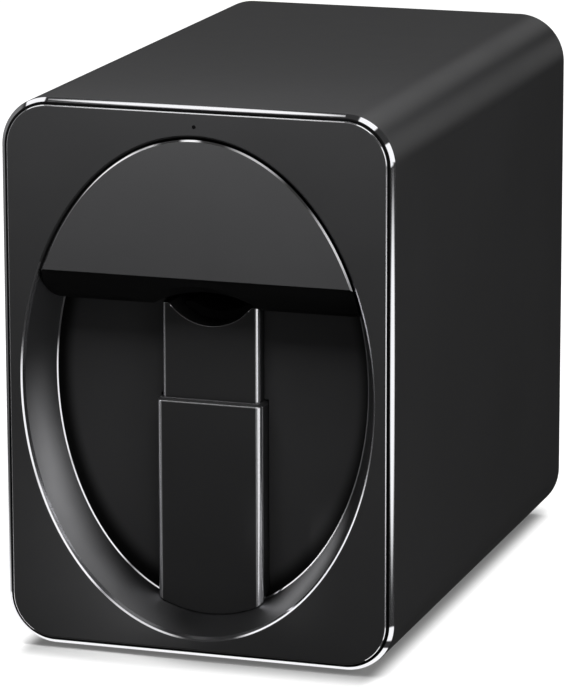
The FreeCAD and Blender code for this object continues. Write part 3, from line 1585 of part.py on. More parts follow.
def make_print_carriage():
    """Open cradle for the cartridge with a bored slide block and a belt clamp behind it."""
    body = new_body("print_carriage_blank")
    half = carriage_half_width
    block_low = nozzle_z + head_clearance
    block_top = up(carriage_block_top)
    front = cartridge_y + cradle_setback
    cheek_z = latch_z + 3 * latch_pin_radius
    wall_z = cradle_top + cradle_wall_height
    rise_y = cartridge_rear_y - cradle_rise_length

    def side(sketch):
        draw_polygon(
            sketch,
            [(front, cradle_low), (carriage_y, cradle_low), (carriage_y, block_low),
             (carriage_rear_y, block_low), (carriage_rear_y, block_top), (carriage_y, block_top),
             (carriage_y, cheek_z), (cartridge_rear_y + cartridge_gap, cheek_z),
             (rise_y, wall_z + cradle_rise), (front, wall_z)],
        )

    pad(body, "YZ", -half, half, side)
    inside = half_cartridge + cartridge_gap
    nose_room = cartridge_y + nose_length + nose_chamfer + cartridge_gap
    pocket(
        body,
        "XY",
        cradle_top,
        cheek_z + overrun,
        lambda sketch: draw_rectangle(sketch, (-inside, inside), (front - overrun, carriage_y)),
    )
    pocket(
        body,
        "XY",
        cradle_low,
        cradle_top,
        lambda sketch: draw_rectangle(sketch, (-inside, inside), (front - overrun, nose_room)),
    )
    clamp_half = clamp_width / 2
    clamp_low = belt_run_z - clamp_wall
    clamp_high = belt_run_z + belt_thickness + clamp_wall

    def clamp(sketch):
        draw_rectangle(sketch, (-clamp_half, clamp_half), (clamp_low, clamp_high))

    clamp_end = pulley_y + belt_width + belt_gap
    pad(body, "XZ", carriage_rear_y - clamp_wall, clamp_end, clamp)
    slot = block(
        "carriage_belt_slot",
        (-clamp_half - overrun, clamp_half + overrun),
        (pulley_y - belt_gap, clamp_end + overrun),
        (belt_run_z - belt_gap, belt_run_z + belt_thickness + belt_gap),
    )
    reach = half + overrun
    bores = [
        rod(f"carriage_bore_{index}", bush_radius, "x", (cross_rod_y, up(height)), -reach, reach)
        for index, height in enumerate((cross_rod_low, cross_rod_high))
    ]
    pin_hole = rod("carriage_pin_hole", latch_pin_radius, "x", (latch_y, latch_z), -reach, reach)
    return finish(cut("print_carriage", body, slot, pin_hole, *bores), "print_carriage")


def make_carriage_bushes():
    """Plain bearings of the carriage on the cross rods, two to a rod."""
    length = carriage_half_width / 2
    bushes = []
    for height in (cross_rod_low, cross_rod_high):
        for start in (-carriage_half_width, carriage_half_width - length):
            name = f"carriage_bush_{len(bushes)}"
            place = (cross_rod_y, up(height))
            bushes.append(tube(name, bush_radius, rod_radius + rod_fit, "x", place, start, start + length))
    return finish(group("carriage_bushes", bushes), "carriage_bushes")


def make_ink_cartridge():
    """Cartridge with a stepped nose, a rear grip ledge and a nozzle plate below."""
    base = up(cartridge_base_height)
    top = up(cartridge_top_height)
    nose_low = nozzle_z + nozzle_plate_thickness
    front = cartridge_y
    nose_end = front + nose_length
    body = new_body("ink_cartridge")

    def side(sketch):
        draw_polygon(
            sketch,
            [(front, nose_low), (nose_end, nose_low), (nose_end + nose_chamfer, base),
             (cartridge_rear_y, base), (cartridge_rear_y, top), (front + 2 * cartridge_step, top),
             (front, top - cartridge_step)],
        )

    pad(body, "YZ", -half_cartridge, half_cartridge, side)
    grip_top = top - cartridge_step

    def grips(sketch):
        for row in range(1, 5):
            high = grip_top - grip_pitch * row
            draw_rectangle(sketch, (front - overrun, front + grip_cut), (high - grip_width, high))

    pocket(body, "YZ", -half_cartridge + grip_inset, half_cartridge - grip_inset, grips)
    finish(body, "ink_cartridge")
    plate = prism(
        "nozzle_plate",
        "XY",
        nozzle_z,
        nose_low,
        lambda sketch: draw_rounded(
            sketch,
            (-half_cartridge + plate_inset, half_cartridge - plate_inset),
            (front + plate_inset / 2, nose_end - plate_inset / 2),
            plate_inset / 2,
        ),
    )
    return finish(plate, "nozzle_plate")


def make_cartridge_latch():
    """Lever behind the cartridge whose hook holds the cartridge down."""
    half = latch_width / 2
    thick = latch_thickness / 2
    over = up(cartridge_top_height) + cartridge_gap
    low = latch_z - latch_tail
    tip_y = latch_y - latch_hook

    def side(sketch):
        draw_polygon(
            sketch,
            [(latch_y - thick, low), (latch_y + thick, low), (latch_y + thick, over + latch_thickness),
             (tip_y, over + latch_thickness), (tip_y, over), (latch_y - thick, over)],
        )

    lever = prism("cartridge_latch_blank", "YZ", -half, half, side)
    place = (latch_y, latch_z)
    hole = rod("latch_hole", latch_pin_radius + rod_fit, "x", place, -half - overrun, half + overrun)
    finish(cut("cartridge_latch", lever, hole), "cartridge_latch")
    pin = rod("latch_pin", latch_pin_radius, "x", place, -carriage_half_width, carriage_half_width)
    return finish(pin, "latch_pin")


# ---------------------------------------------------------------- camera
camera_y = at(camera_depth)


def make_camera():
    """Camera bracket under the housing's top, its board, lens and lights."""
    half_x = camera_board_width / 2
    half_y = camera_board_length / 2
    y_span = (camera_y - half_y, camera_y + half_y)
    bracket_z = inner_top - panel_gap
    board_z = bracket_z - bracket_thickness
    bracket_half = half_x + bracket_margin
    bracket = prism(
        "camera_bracket",
        "XY",
        board_z,
        bracket_z,
        lambda sketch: draw_rounded(sketch, (-bracket_half, bracket_half), y_span, 2 * board_corner),
    )
    finish(bracket, "camera_bracket")
    board_low = board_z - board_thickness
    board = prism(
        "camera_board",
        "XY",
        board_low,
        board_z,
        lambda sketch: draw_rounded(sketch, (-half_x, half_x), y_span, board_corner),
    )
    finish(board, "camera_board")
    place = (ZERO, camera_y)
    barrel = tube("camera_barrel", lens_radius, glass_radius, "z", place, board_low - lens_length, board_low)
    glass = rod("camera_glass", glass_radius, "z", place, board_low - glass_length, board_low)
    finish(fuse("camera_lens", barrel, glass), "camera_lens")
    lamps = []
    for side in (-1, 1):
        centre = side * (half_x - lamp_size)
        lamps.append(
            block(
                f"camera_lamp_{len(lamps)}",
                (centre - lamp_size / 2, centre + lamp_size / 2),
                (camera_y - lamp_length / 2, camera_y + lamp_length / 2),
                (board_low - lamp_height, board_low),
            )
        )
    return finish(group("camera_lights", lamps), "camera_lights")


# ---------------------------------------------------------------- electronics and rear
def chip(name, x, y, size, height):
    """Square package on the mainboard."""
    x_span = (x - size / 2, x + size / 2)
    y_span = (y - size / 2, y + size / 2)
    return block(name, x_span, y_span, (mainboard_top, mainboard_top + height))


def make_mainboard():
    """Control board on four standoffs, with its processor, driver chips and capacitor."""
    low = mainboard_top - board_thickness
    rear = at(mainboard_rear_depth)
    half = mainboard_width / 2
    y_span = (rear - mainboard_length, rear)
    corners = [
        (side * (half - standoff_inset), y)
        for side in (-1, 1)
        for y in (y_span[0] + standoff_inset, y_span[1] - port_zone)
    ]
    posts = [
        rod(f"standoff_{index}", standoff_radius, "z", place, up(base_top_height), low)
        for index, place in enumerate(corners)
    ]
    finish(group("board_standoffs", posts), "board_standoffs")
    board = prism(
        "mainboard",
        "XY",
        low,
        mainboard_top,
        lambda sketch: draw_rounded(sketch, (-half, half), y_span, board_corner),
    )
    finish(board, "mainboard")
    middle = rear - mainboard_length / 2
    chips = [chip("chip_processor", ZERO, middle, processor_size, processor_height)]
    for side in (-1, 1):
        x = side * driver_spacing / 2
        chips.append(chip(f"chip_driver_{len(chips)}", x, middle, driver_size, driver_height))
    place = (-driver_spacing / 2, middle - driver_spacing / 2)
    top = mainboard_top + capacitor_height
    chips.append(rod("capacitor", capacitor_radius, "z", place, mainboard_top, top))
    return finish(group("board_components", chips), "board_components")


def make_ports():
    """Power socket and data socket on the mainboard's rear edge."""
    nose_end = rear_y - port_recess
    box_end = at(rear_wall_depth) - port_gap
    box_start = box_end - port_length
    cavity_start = nose_end - port_cavity
    half_jack = connector_height / 2
    x_span = (jack_offset - half_jack, jack_offset + half_jack)
    z_span = (mainboard_top, mainboard_top + connector_height)
    jack_box = block("dc_jack_box", x_span, (box_start, box_end), z_span)
    place = (jack_offset, connector_z)
    nose = rod("dc_jack_nose", jack_radius, "y", place, box_end - overrun, nose_end)
    socket = rod("dc_jack_socket", jack_bore_radius, "y", place, cavity_start, nose_end + overrun)
    pin = rod("dc_jack_pin", jack_pin_radius, "y", place, cavity_start - overrun, nose_end - overrun)
    shell = cut("dc_jack_shell", fuse("dc_jack_solid", jack_box, nose), socket)
    finish(fuse("dc_jack", shell, pin), "dc_jack")
    body = new_body("usb_socket")

    def usb_ring(sketch, inset):
        half = usb_width / 2 - inset
        low = mainboard_top + inset
        high = mainboard_top + connector_height - inset
        draw_rectangle(sketch, (usb_offset - half, usb_offset + half), (low, high))

    def mouth(sketch):
        usb_ring(sketch, usb_wall)
        usb_ring(sketch, usb_wall + usb_slit)

    half_usb = usb_width / 2
    usb_span = (usb_offset - half_usb, usb_offset + half_usb)
    pad(body, "XZ", box_start, nose_end, lambda sketch: draw_rounded(sketch, usb_span, z_span, usb_corner))
    pocket(body, "XZ", cavity_start, nose_end, mouth)
    return finish(body, "usb_socket")


def make_power_button():
    """Rear push button, with its stem guided in the switch on the mainboard."""
    place = (button_offset, connector_z)
    inner_face = at(rear_wall_depth)
    flange_end = inner_face - button_play
    flange_start = flange_end - button_flange
    switch_face = inner_face - switch_gap
    stem_end = switch_face - stem_overlap
    flange_radius = button_radius + button_flange
    flange = rod("button_flange", flange_radius, "y", place, flange_start, flange_end)
    cap = rod("button_cap", button_radius, "y", place, flange_start, rear_y - button_recess)
    stem = rod("button_stem", shaft_radius, "y", place, stem_end, flange_end)
    finish(fuse("power_button", flange, cap, stem), "power_button")
    half = switch_size / 2
    switch_box = block(
        "power_switch_box",
        (button_offset - half, button_offset + half),
        (switch_face - switch_length, switch_face),
        (mainboard_top, connector_z + half),
    )
    bore_start = stem_end - button_travel - stem_overlap
    bore_radius = shaft_radius + rod_fit
    bore = rod("power_switch_bore", bore_radius, "y", place, bore_start, switch_face + overrun)
    return finish(cut("power_switch", switch_box, bore), "power_switch")


def make_rear_cover():
    """Rear cover with vent slots, port holes and four screw posts."""
    body = new_body("rear_cover")
    low = up(shell_wall + panel_gap)
    high = inner_top - panel_gap
    corner = body_corner - shell_wall - panel_gap
    inner = at(rear_wall_depth)

    def outline(sketch):
        draw_rounded(sketch, (-panel_half_width, panel_half_width), (low, high), corner)
        draw_circle(sketch, jack_offset, connector_z, jack_radius + port_gap)
        draw_circle(sketch, button_offset, connector_z, button_radius + port_gap)
        half_usb = usb_width / 2 + port_gap
        draw_rounded(
            sketch,
            (usb_offset - half_usb, usb_offset + half_usb),
            (mainboard_top - port_gap, mainboard_top + connector_height + port_gap),
            usb_corner + port_gap,
        )

    def posts(sketch):
        for x, z in rear_post_places:
            draw_circle(sketch, x, z, rear_post_radius)

    def shaft_holes(sketch):
        for x, z in rear_post_places:
            draw_circle(sketch, x, z, screw_radius + screw_fit)

    def head_holes(sketch):
        for x, z in rear_post_places:
            draw_circle(sketch, x, z, screw_head_radius + screw_fit)

    pad(body, "XZ", inner, rear_y, outline)
    pad(body, "XZ", at(frame_rear_depth), inner, posts)
    pocket(body, "XZ", at(frame_rear_depth), rear_y, shaft_holes)
    pocket(body, "XZ", rear_y - screw_head_height, rear_y, head_holes)
    vent_low = up(shelf_height) - vent_pitch

    def vent(sketch):
        half = vent_width / 2
        draw_rounded(sketch, (-half, half), (vent_low, vent_low + vent_height), vent_corner)

    slots = pocket(body, "XZ", inner, rear_y, vent)
    doc.recompute()
    rows = body.newObject("PartDesign::LinearPattern", "vent_rows")
    rows.Originals = [slots]
    rows.Direction = (slots.Profile[0], ["V_Axis"])
    bind(rows, "Length", vent_pitch * (vent_count - 1))
    bind(rows, "Occurrences", vent_count)
    body.Tip = rows
    return finish(body, "rear_cover")


def make_rear_screws():
    """Screws that hold the rear cover to the rear bulkhead."""
    screws = []
    for index, (x, z) in enumerate(rear_post_places):
        head_y = rear_y - screw_head_height
        shaft_y = at(rear_bulkhead_depth)
        head = rod(f"rear_screw_head_{index}", screw_head_radius, "y", (x, z), head_y, rear_y)
        shaft = rod(f"rear_screw_shaft_{index}", screw_radius, "y", (x, z), shaft_y, rear_y)
        screws.append(fuse(f"rear_screw_{index}", head, shaft))
    return finish(group("rear_screws", screws), "rear_screws")


# ---------------------------------------------------------------- build
make_outer_shell()
make_feet()
make_base_screws()
make_front_panel()
make_recess_bezel()
make_back_wall()
make_catch_plates()
make_status_light()
make_hood()
make_hood_magnets()
make_rest_sleeve()
make_finger_rest()
make_finger_pad()
make_rest_spring()
make_base_plate()
make_side_frame("left_side_frame", -1)
make_side_frame("right_side_frame", 1)
make_front_bulkhead()
make_rear_bulkhead()
make_long_rods()
make_lead_screw()
make_feed_motor()
make_service_shelf()
make_cap_holder()
make_cap_pad()
make_wiper()
make_gantry_frame()
make_gantry_bushes()
make_lead_nut()
make_cross_rods()
make_scan_motor()
make_belt_drive()
make_print_carriage()
make_carriage_bushes()
make_ink_cartridge()
make_cartridge_latch()
make_camera()
make_mainboard()
make_ports()
make_power_button()
make_rear_cover()
make_rear_screws()
doc.recompute()

# ---------------------------------------------------------------- check and export
for obj in doc.Objects:
    if "Invalid" in obj.State or "Error" in obj.State:
        raise RuntimeError(f"{obj.Label} is {obj.State}")
for part in nodes:
    if part.Shape.isNull() or not part.Shape.isValid():
        raise RuntimeError(f"{part.Label} has no valid shape")
os.makedirs("parts", exist_ok=True)
for part in nodes:
    part.Shape.exportStep(f"parts/{part.Label}.step")
    box = part.Shape.BoundBox
    print(
        f"{part.Label}: solids {len(part.Shape.Solids)}, volume {part.Shape.Volume:.1f},"
        f" x {box.XMin:.2f} {box.XMax:.2f}, y {box.YMin:.2f} {box.YMax:.2f}, z {box.ZMin:.2f} {box.ZMax:.2f}"
    )
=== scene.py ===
import json
import math

import bpy
from mathutils import Matrix, Vector


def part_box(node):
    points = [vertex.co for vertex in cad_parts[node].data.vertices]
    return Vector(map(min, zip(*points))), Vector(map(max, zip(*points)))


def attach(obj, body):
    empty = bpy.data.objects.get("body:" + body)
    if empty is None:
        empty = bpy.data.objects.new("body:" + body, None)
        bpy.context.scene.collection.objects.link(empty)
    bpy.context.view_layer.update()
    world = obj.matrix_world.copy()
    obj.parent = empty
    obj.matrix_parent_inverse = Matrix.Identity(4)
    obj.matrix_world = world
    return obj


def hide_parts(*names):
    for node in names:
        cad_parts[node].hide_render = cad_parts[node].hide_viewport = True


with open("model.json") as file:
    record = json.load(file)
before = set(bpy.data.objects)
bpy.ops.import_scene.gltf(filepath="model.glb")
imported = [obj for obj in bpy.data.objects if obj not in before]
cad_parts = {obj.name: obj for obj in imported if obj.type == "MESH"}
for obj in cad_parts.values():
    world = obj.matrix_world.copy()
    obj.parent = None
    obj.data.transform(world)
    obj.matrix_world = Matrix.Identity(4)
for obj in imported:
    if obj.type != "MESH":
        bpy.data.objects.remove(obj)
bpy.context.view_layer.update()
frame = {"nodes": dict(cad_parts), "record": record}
nodes = frame["nodes"]

# ---------------------------------------------------------------- sizes, in metres
MM = 0.001
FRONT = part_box("front_panel")[0].y
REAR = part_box("outer_shell")[1].y
HALF_BODY = 62.5 * MM
BODY_LOW = 1.5 * MM
BODY_HIGH = 173.5 * MM
BODY_MIDDLE = (BODY_LOW + BODY_HIGH) / 2
BODY_CORNER = 15.5 * MM
WALL = 2.0 * MM
SHELL_SETBACK = 0.8 * MM
SHELL_BEVEL = 1.4 * MM
PANEL_GAP = 0.15 * MM
PANEL_THICKNESS = 1.6 * MM
PANEL_BEVEL = 0.5 * MM
PLATE_HALF = HALF_BODY - WALL - PANEL_GAP
PLATE_LOW = BODY_LOW + WALL + PANEL_GAP
PLATE_HIGH = BODY_HIGH - WALL - PANEL_GAP
PLATE_CORNER = BODY_CORNER - WALL - PANEL_GAP
FLANGE = 2.4 * MM
APERTURE_Z = 85.7 * MM
APERTURE = (56.5 * MM, 78.5 * MM)
APERTURE_CUT = [(-0.5 * MM, -0.85 * MM), (0.35 * MM, 0.0), (2.1 * MM, 0.0)]  # depth, inset
THROAT = (50.3 * MM, 72.0 * MM)
THROAT_DEPTH = 15.0 * MM
RECESS_WALL = 1.8 * MM
UNDERCUT = 2.0 * MM
BACK_WALL_DEPTH = 18.0 * MM
CORNER_SHADE_MARGIN = 2.0 * MM
CORNER_SHADE_BAND = (0.865, 0.955)  # where the painted shade at the wall's foot starts and is full, in shares of its outline
HOOD_GAP = 0.9 * MM
HOOD_DEPTH = 17.3 * MM
HOOD_WALL = 2.0 * MM
HOOD_OUTLINE = [(0, 1.6 * MM), (0.4 * MM, HOOD_GAP), (HOOD_DEPTH, HOOD_GAP)]  # depth, inset
HOOD_EDGE_Z = 120.5 * MM
HOOD_LIP = 0.75 * MM
INNER_LIP = 3.0 * MM
ROLL_RADIUS = 18.2 * MM
ROLL_Z = 127.0 * MM
ARCH_APEX_Z = 118.6 * MM
ARCH_SLOPE = 4.4 / 11
ARCH_RADIUS = 35.0 * MM
ARCH_FLARE = 1.0 / 11
ARCH_FUNNEL = 11.0 * MM
ARCH_LINING = 1.5 * MM
MAGNET_X = 30.0 * MM
MAGNET_Z = 128.0 * MM
MAGNET_BOSS = 4.5 * MM
MAGNET_SEAT = 3.05 * MM
MAGNET_DEPTH = 2.3 * MM
NOTCH_TOP = 113.9 * MM
SLEEVE_FACE = 11.5 * MM
SLEEVE_HALF = 17.1 * MM
SLEEVE_CORNER = 2.3 * MM
SLEEVE_TOP = 80.0 * MM
SLEEVE_GAP = 0.3 * MM
SLEEVE_FLOOR = 18.0 * MM
SLEEVE_TRIM = 2.3 * MM
REST_FACE = 13.6 * MM
REST_HALF = 15.7 * MM
REST_CORNER = 1.5 * MM
REST_LENGTH = 36.4 * MM
REST_TOP = 109.6 * MM
REST_GAP = 0.3 * MM
REST_WALL = 2.0 * MM
REST_HOLLOW = 60.0 * MM
SCOOP_DEPTH = 6.5 * MM
SCOOP_RADIUS = 16.653 * MM
LIGHT_HOLE_Z = 167.1 * MM
LIGHT_HOLE = 0.6 * MM
RING_STEPS = 192
FUNNEL_STEPS = 256
ROLL_STEPS = 40


def at(depth):
    """Y of a plane the given depth behind the front face."""
    return FRONT + depth


# ---------------------------------------------------------------- modelling helpers
def ready():
    """Leave edit mode and deselect everything."""
    if bpy.context.object is not None and bpy.context.object.mode != "OBJECT":
        bpy.ops.object.mode_set(mode="OBJECT")
    bpy.ops.object.select_all(action="DESELECT")


def take(piece):
    """Make this piece the only one selected, in object mode."""
    ready()
    piece.select_set(True)
    bpy.context.view_layer.objects.active = piece


def named(name):
    """Name the piece just added and bake its place into its mesh."""
    piece = bpy.context.object
    piece.name = name
    piece.data.name = name
    bpy.ops.object.transform_apply(location=True, rotation=True, scale=True)
    return piece


def pick_faces(piece, test):
    """Enter edit mode with the faces selected that pass a test of centre and normal."""
    take(piece)
    mesh = piece.data
    mesh.vertices.foreach_set("select", [False] * len(mesh.vertices))
    mesh.edges.foreach_set("select", [False] * len(mesh.edges))
    mesh.polygons.foreach_set("select", [bool(test(face.center, face.normal)) for face in mesh.polygons])
    bpy.context.tool_settings.mesh_select_mode = (False, False, True)
    bpy.ops.object.mode_set(mode="EDIT")


def pick_edges(piece, test):
    """Enter edit mode with the edges selected that pass a test of their two ends."""
    take(piece)
    mesh = piece.data
    points = [vertex.co for vertex in mesh.vertices]
    chosen = [bool(test(points[edge.vertices[0]], points[edge.vertices[1]])) for edge in mesh.edges]
    mesh.vertices.foreach_set("select", [False] * len(mesh.vertices))
    mesh.polygons.foreach_set("select", [False] * len(mesh.polygons))
    mesh.edges.foreach_set("select", chosen)
    bpy.context.tool_settings.mesh_select_mode = (False, True, False)
    bpy.ops.object.mode_set(mode="EDIT")


def edit_all(piece, action):
    """Enter edit mode with all or none of the piece selected, by edges."""
    take(piece)
    bpy.ops.object.mode_set(mode="EDIT")
    bpy.ops.mesh.select_mode(type="EDGE")
    bpy.ops.mesh.select_all(action=action)


def done(piece):
    """Back to object mode."""
    bpy.ops.object.mode_set(mode="OBJECT")
    return piece


def close_up(piece):
    """Turn all faces of a closed piece outwards and leave edit mode."""
    bpy.ops.mesh.select_all(action="SELECT")
    bpy.ops.mesh.normals_make_consistent(inside=False)
    return done(piece)


def near(a, b, slack=0.02 * MM):
    """Two measures are the same but for a hair."""
    return abs(a - b) < slack


def along(axis):
    """Edge test: the edge runs along an axis."""
    index = "xyz".index(axis)

    def test(a, b):
        run = b - a
        return abs(run[index]) > 0.999 * run.length

    return test


def on_plane(axis, level):
    """Edge test: both ends lie at a level of an axis."""
    index = "xyz".index(axis)

    def test(a, b):
        return near(a[index], level) and near(b[index], level)

    return test


def block(name, low, high):
    """Cube between two corners."""
    ready()
    low, high = Vector(low), Vector(high)
    bpy.ops.mesh.primitive_cube_add(size=1, location=(low + high) / 2, scale=high - low)
    return named(name)


def bar(name, radius, x, z, start, end, steps=64):
    """Cylinder that runs from front to back."""
    ready()
    bpy.ops.mesh.primitive_cylinder_add(
        vertices=steps,
        radius=radius,
        depth=end - start,
        location=(x, (start + end) / 2, z),
        rotation=(math.pi / 2, 0, 0),
    )
    return named(name)


def round_edges(piece, test, radius, steps, clamp=True):
    """Bevel the edges that pass a test."""
    pick_edges(piece, test)
    bpy.ops.mesh.bevel(offset=radius, segments=steps, affect="EDGES", clamp_overlap=clamp)
    return done(piece)


def rounded_plate(name, half_width, low, high, start, end, corner, steps=32):
    """Plate parallel to the front with four round corners."""
    piece = block(name, (-half_width, start, low), (half_width, end, high))
    return round_edges(piece, along("y"), corner, steps)


def rings(name, places, steps=RING_STEPS):
    """Tube through rings parallel to the front; a place is (y, z, half width, half height)."""
    ready()
    y, z, wide, high = places[0]
    bpy.ops.mesh.primitive_circle_add(
        vertices=steps, radius=wide, fill_type="NOTHING", location=(0, y, z), rotation=(math.pi / 2, 0, 0)
    )
    piece = named(name)
    pick_edges(piece, lambda a, b: True)
    bpy.ops.transform.resize(value=(1, 1, high / wide), center_override=(0, y, z))
    for last, place in zip(places, places[1:]):
        y, z, wide, high = place
        move = (0, y - last[0], z - last[1])
        growth = (wide / last[2], 1, high / last[3])
        bpy.ops.mesh.extrude_region_move(TRANSFORM_OT_translate={"value": move})
        bpy.ops.transform.resize(value=growth, center_override=(0, y, z))
    return done(piece)


def cap_ends(piece):
    """Close the open rims of a tube with faces."""
    edit_all(piece, "DESELECT")
    bpy.ops.mesh.select_non_manifold()
    bpy.ops.mesh.fill_holes(sides=0)
    return close_up(piece)


def join_ends(piece):
    """Bridge the first and last ring of a tube, which makes a hollow ring of it."""
    edit_all(piece, "DESELECT")
    bpy.ops.mesh.select_non_manifold()
    bpy.ops.mesh.bridge_edge_loops()
    return close_up(piece)


def combine(piece, tool, operation="DIFFERENCE"):
    """Boolean of two pieces; the tool is used up."""
    take(piece)
    change = piece.modifiers.new("shape", "BOOLEAN")
    change.operation = operation
    change.object = tool
    change.solver = "EXACT"
    bpy.ops.object.modifier_apply(modifier="shape")
    bpy.data.objects.remove(tool)


def soften(piece, width, angle=30, finish=-1):
    """Round the sharp edges by a hair; finish is the rounding's material index, -1 for its neighbour's."""
    take(piece)
    change = piece.modifiers.new("edges", "BEVEL")
    change.width = width
    change.segments = 2
    change.limit_method = "ANGLE"
    change.angle_limit = math.radians(angle)
    change.use_clamp_overlap = True
    change.material = finish
    bpy.ops.object.modifier_apply(modifier="edges")


def smooth(piece, angle=30):
    """Smooth shading with creases; the large faces keep their own direction."""
    take(piece)
    bpy.ops.object.shade_smooth_by_angle(angle=math.radians(angle))
    change = piece.modifiers.new("flat_faces", "WEIGHTED_NORMAL")
    change.keep_sharp = True
    change.weight = 100
    bpy.ops.object.modifier_apply(modifier="flat_faces")


def give_faces(piece, material, test):
    """Give the faces that pass a test of centre and normal another material."""
    piece.data.materials.append(material)
    index = len(piece.data.materials) - 1
    for face in piece.data.polygons:
        if test(face.center, face.normal):
            face.material_index = index


def stand_in(piece, material, body, node):
    """Give a finished piece its material and its body, and hide the node that it stands for."""
    if not piece.data.materials:
        piece.data.materials.append(material)
    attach(piece, body)
    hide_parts(node)


def merged_copy(node, name):
    """Copy of a node's mesh with its loose triangles joined into clean faces."""
    piece = nodes[node].copy()
    piece.data = nodes[node].data.copy()
    piece.name = name
    piece.data.name = name
    piece.data.materials.clear()
    piece.parent = None
    for key in list(piece.keys()):
        del piece[key]
    bpy.context.scene.collection.objects.link(piece)
    edit_all(piece, "SELECT")
    bpy.ops.mesh.remove_doubles(threshold=0.002 * MM)
    bpy.ops.mesh.dissolve_limited(angle_limit=math.radians(0.5))
    return done(piece)


# ---------------------------------------------------------------- shader helpers
def feed(tree, value, end):
    """Wire another socket to a socket, or set it to a number, vector or colour."""
    if isinstance(value, bpy.types.NodeSocket):
        tree.links.new(value, end)
    else:
        end.default_value = value


def math_node(tree, operation, *values):
    """Math node between sockets or numbers; gives its output."""
    node = tree.nodes.new("ShaderNodeMath")
    node.operation = operation
    for value, end in zip(values, node.inputs):
        feed(tree, value, end)
    return node.outputs["Value"]


def vector_steps(tree, last, steps):
    """Chain of vector math nodes, each with its own second vector; gives the last output."""
    for operation, value in steps:
        node = tree.nodes.new("ShaderNodeVectorMath")
        node.operation = operation
        feed(tree, last, node.inputs[0])
        if value is not None:
            feed(tree, value, node.inputs[1])
        gives_number = operation in ("LENGTH", "DOT_PRODUCT")
        last = node.outputs["Value" if gives_number else "Vector"]
    return last


def ramp(tree, value, start, end, low=0.0, high=1.0, course="SMOOTHSTEP"):
    """Let a value between start and end run from low to high; gives the output."""
    node = tree.nodes.new("ShaderNodeMapRange")
    node.interpolation_type = course
    ends = (("Value", value), ("From Min", start), ("From Max", end), ("To Min", low), ("To Max", high))
    for name, given in ends:
        feed(tree, given, node.inputs[name])
    return node.outputs["Result"]


def blend_over(tree, mask, end, value):
    """Turn what feeds a socket into a value where the mask is one."""
    node = tree.nodes.new("ShaderNodeMix")
    node.data_type = "FLOAT" if isinstance(value, float) else "RGBA"
    feed(tree, mask, node.inputs["Factor"])
    feed(tree, end.links[0].from_socket, node.inputs["A"])
    feed(tree, value, node.inputs["B"])
    feed(tree, node.outputs["Result"], end)


def seen_rays(tree):
    """Light path node, and a value that is one for camera and transmission rays."""
    path = tree.nodes.new("ShaderNodeLightPath")
    camera, through = path.outputs["Is Camera Ray"], path.outputs["Is Transmission Ray"]
    return path, math_node(tree, "MAXIMUM", camera, through)


def shader_group(name, inputs, outputs):
    """Empty shader group with number sockets; gives it and its two end nodes."""
    group = bpy.data.node_groups.new(name, "ShaderNodeTree")
    for label, value in inputs.items():
        item = group.interface.new_socket(name=label, in_out="INPUT", socket_type="NodeSocketFloat")
        item.default_value = value
    for label in outputs:
        group.interface.new_socket(name=label, in_out="OUTPUT", socket_type="NodeSocketFloat")
    return group, group.nodes.new("NodeGroupInput"), group.nodes.new("NodeGroupOutput")


def placed_group(tree, group, **values):
    """Place a group in a material; a value's name is the socket's in small letters."""
    node = tree.nodes.new("ShaderNodeGroup")
    node.node_tree = group
    for name, value in values.items():
        node.inputs[name.replace("_", " ").title()].default_value = value
    return node


# ---------------------------------------------------------------- shader groups
def make_surface_group():
    """Fine grain, faint smudges and dust: gives a height, a roughness and a tint factor."""
    inputs = {"Grain Scale": 900.0, "Smudge Scale": 18.0, "Roughness Low": 0.35, "Roughness High": 0.5}
    group, enter, leave = shader_group("fine_surface", inputs, ("Height", "Roughness", "Tint"))
    coords = group.nodes.new("ShaderNodeTexCoord")
    grain = group.nodes.new("ShaderNodeTexNoise")
    grain.inputs["Detail"].default_value = 3.0
    smudge = group.nodes.new("ShaderNodeTexNoise")
    smudge.inputs["Detail"].default_value = 5.0
    smudge.inputs["Roughness"].default_value = 0.6
    dust = group.nodes.new("ShaderNodeTexVoronoi")
    dust.inputs["Scale"].default_value = 260.0
    for texture in (grain, smudge, dust):
        feed(group, coords.outputs["Object"], texture.inputs["Vector"])
    feed(group, enter.outputs["Grain Scale"], grain.inputs["Scale"])
    feed(group, enter.outputs["Smudge Scale"], smudge.inputs["Scale"])
    low, high = enter.outputs["Roughness Low"], enter.outputs["Roughness High"]
    gloss = ramp(group, smudge.outputs["Fac"], 0.3, 0.7, low, high, course="LINEAR")
    speck = ramp(group, dust.outputs["Distance"], 0.0, 0.12, 1.0, 0.0, course="LINEAR")
    tint = math_node(group, "MULTIPLY_ADD", speck, 0.12, smudge.outputs["Fac"])
    feed(group, grain.outputs["Fac"], leave.inputs["Height"])
    feed(group, gloss, leave.inputs["Roughness"])
    feed(group, tint, leave.inputs["Tint"])
    return group


def make_edge_group():
    """Mask of the rounded edges around the faces that look forwards, where the finish is polished."""
    group, enter, leave = shader_group("front_edges", {"Start": 0.12, "End": 0.5}, ("Mask",))
    coords = group.nodes.new("ShaderNodeTexCoord")
    parts = group.nodes.new("ShaderNodeSeparateXYZ")
    feed(group, vector_steps(group, coords.outputs["Normal"], [("ABSOLUTE", None)]), parts.inputs["Vector"])
    across = math_node(group, "MAXIMUM", parts.outputs["X"], parts.outputs["Z"])
    turned = math_node(group, "MINIMUM", across, parts.outputs["Y"])
    feed(group, ramp(group, turned, enter.outputs["Start"], enter.outputs["End"]), leave.inputs["Mask"])
    return group


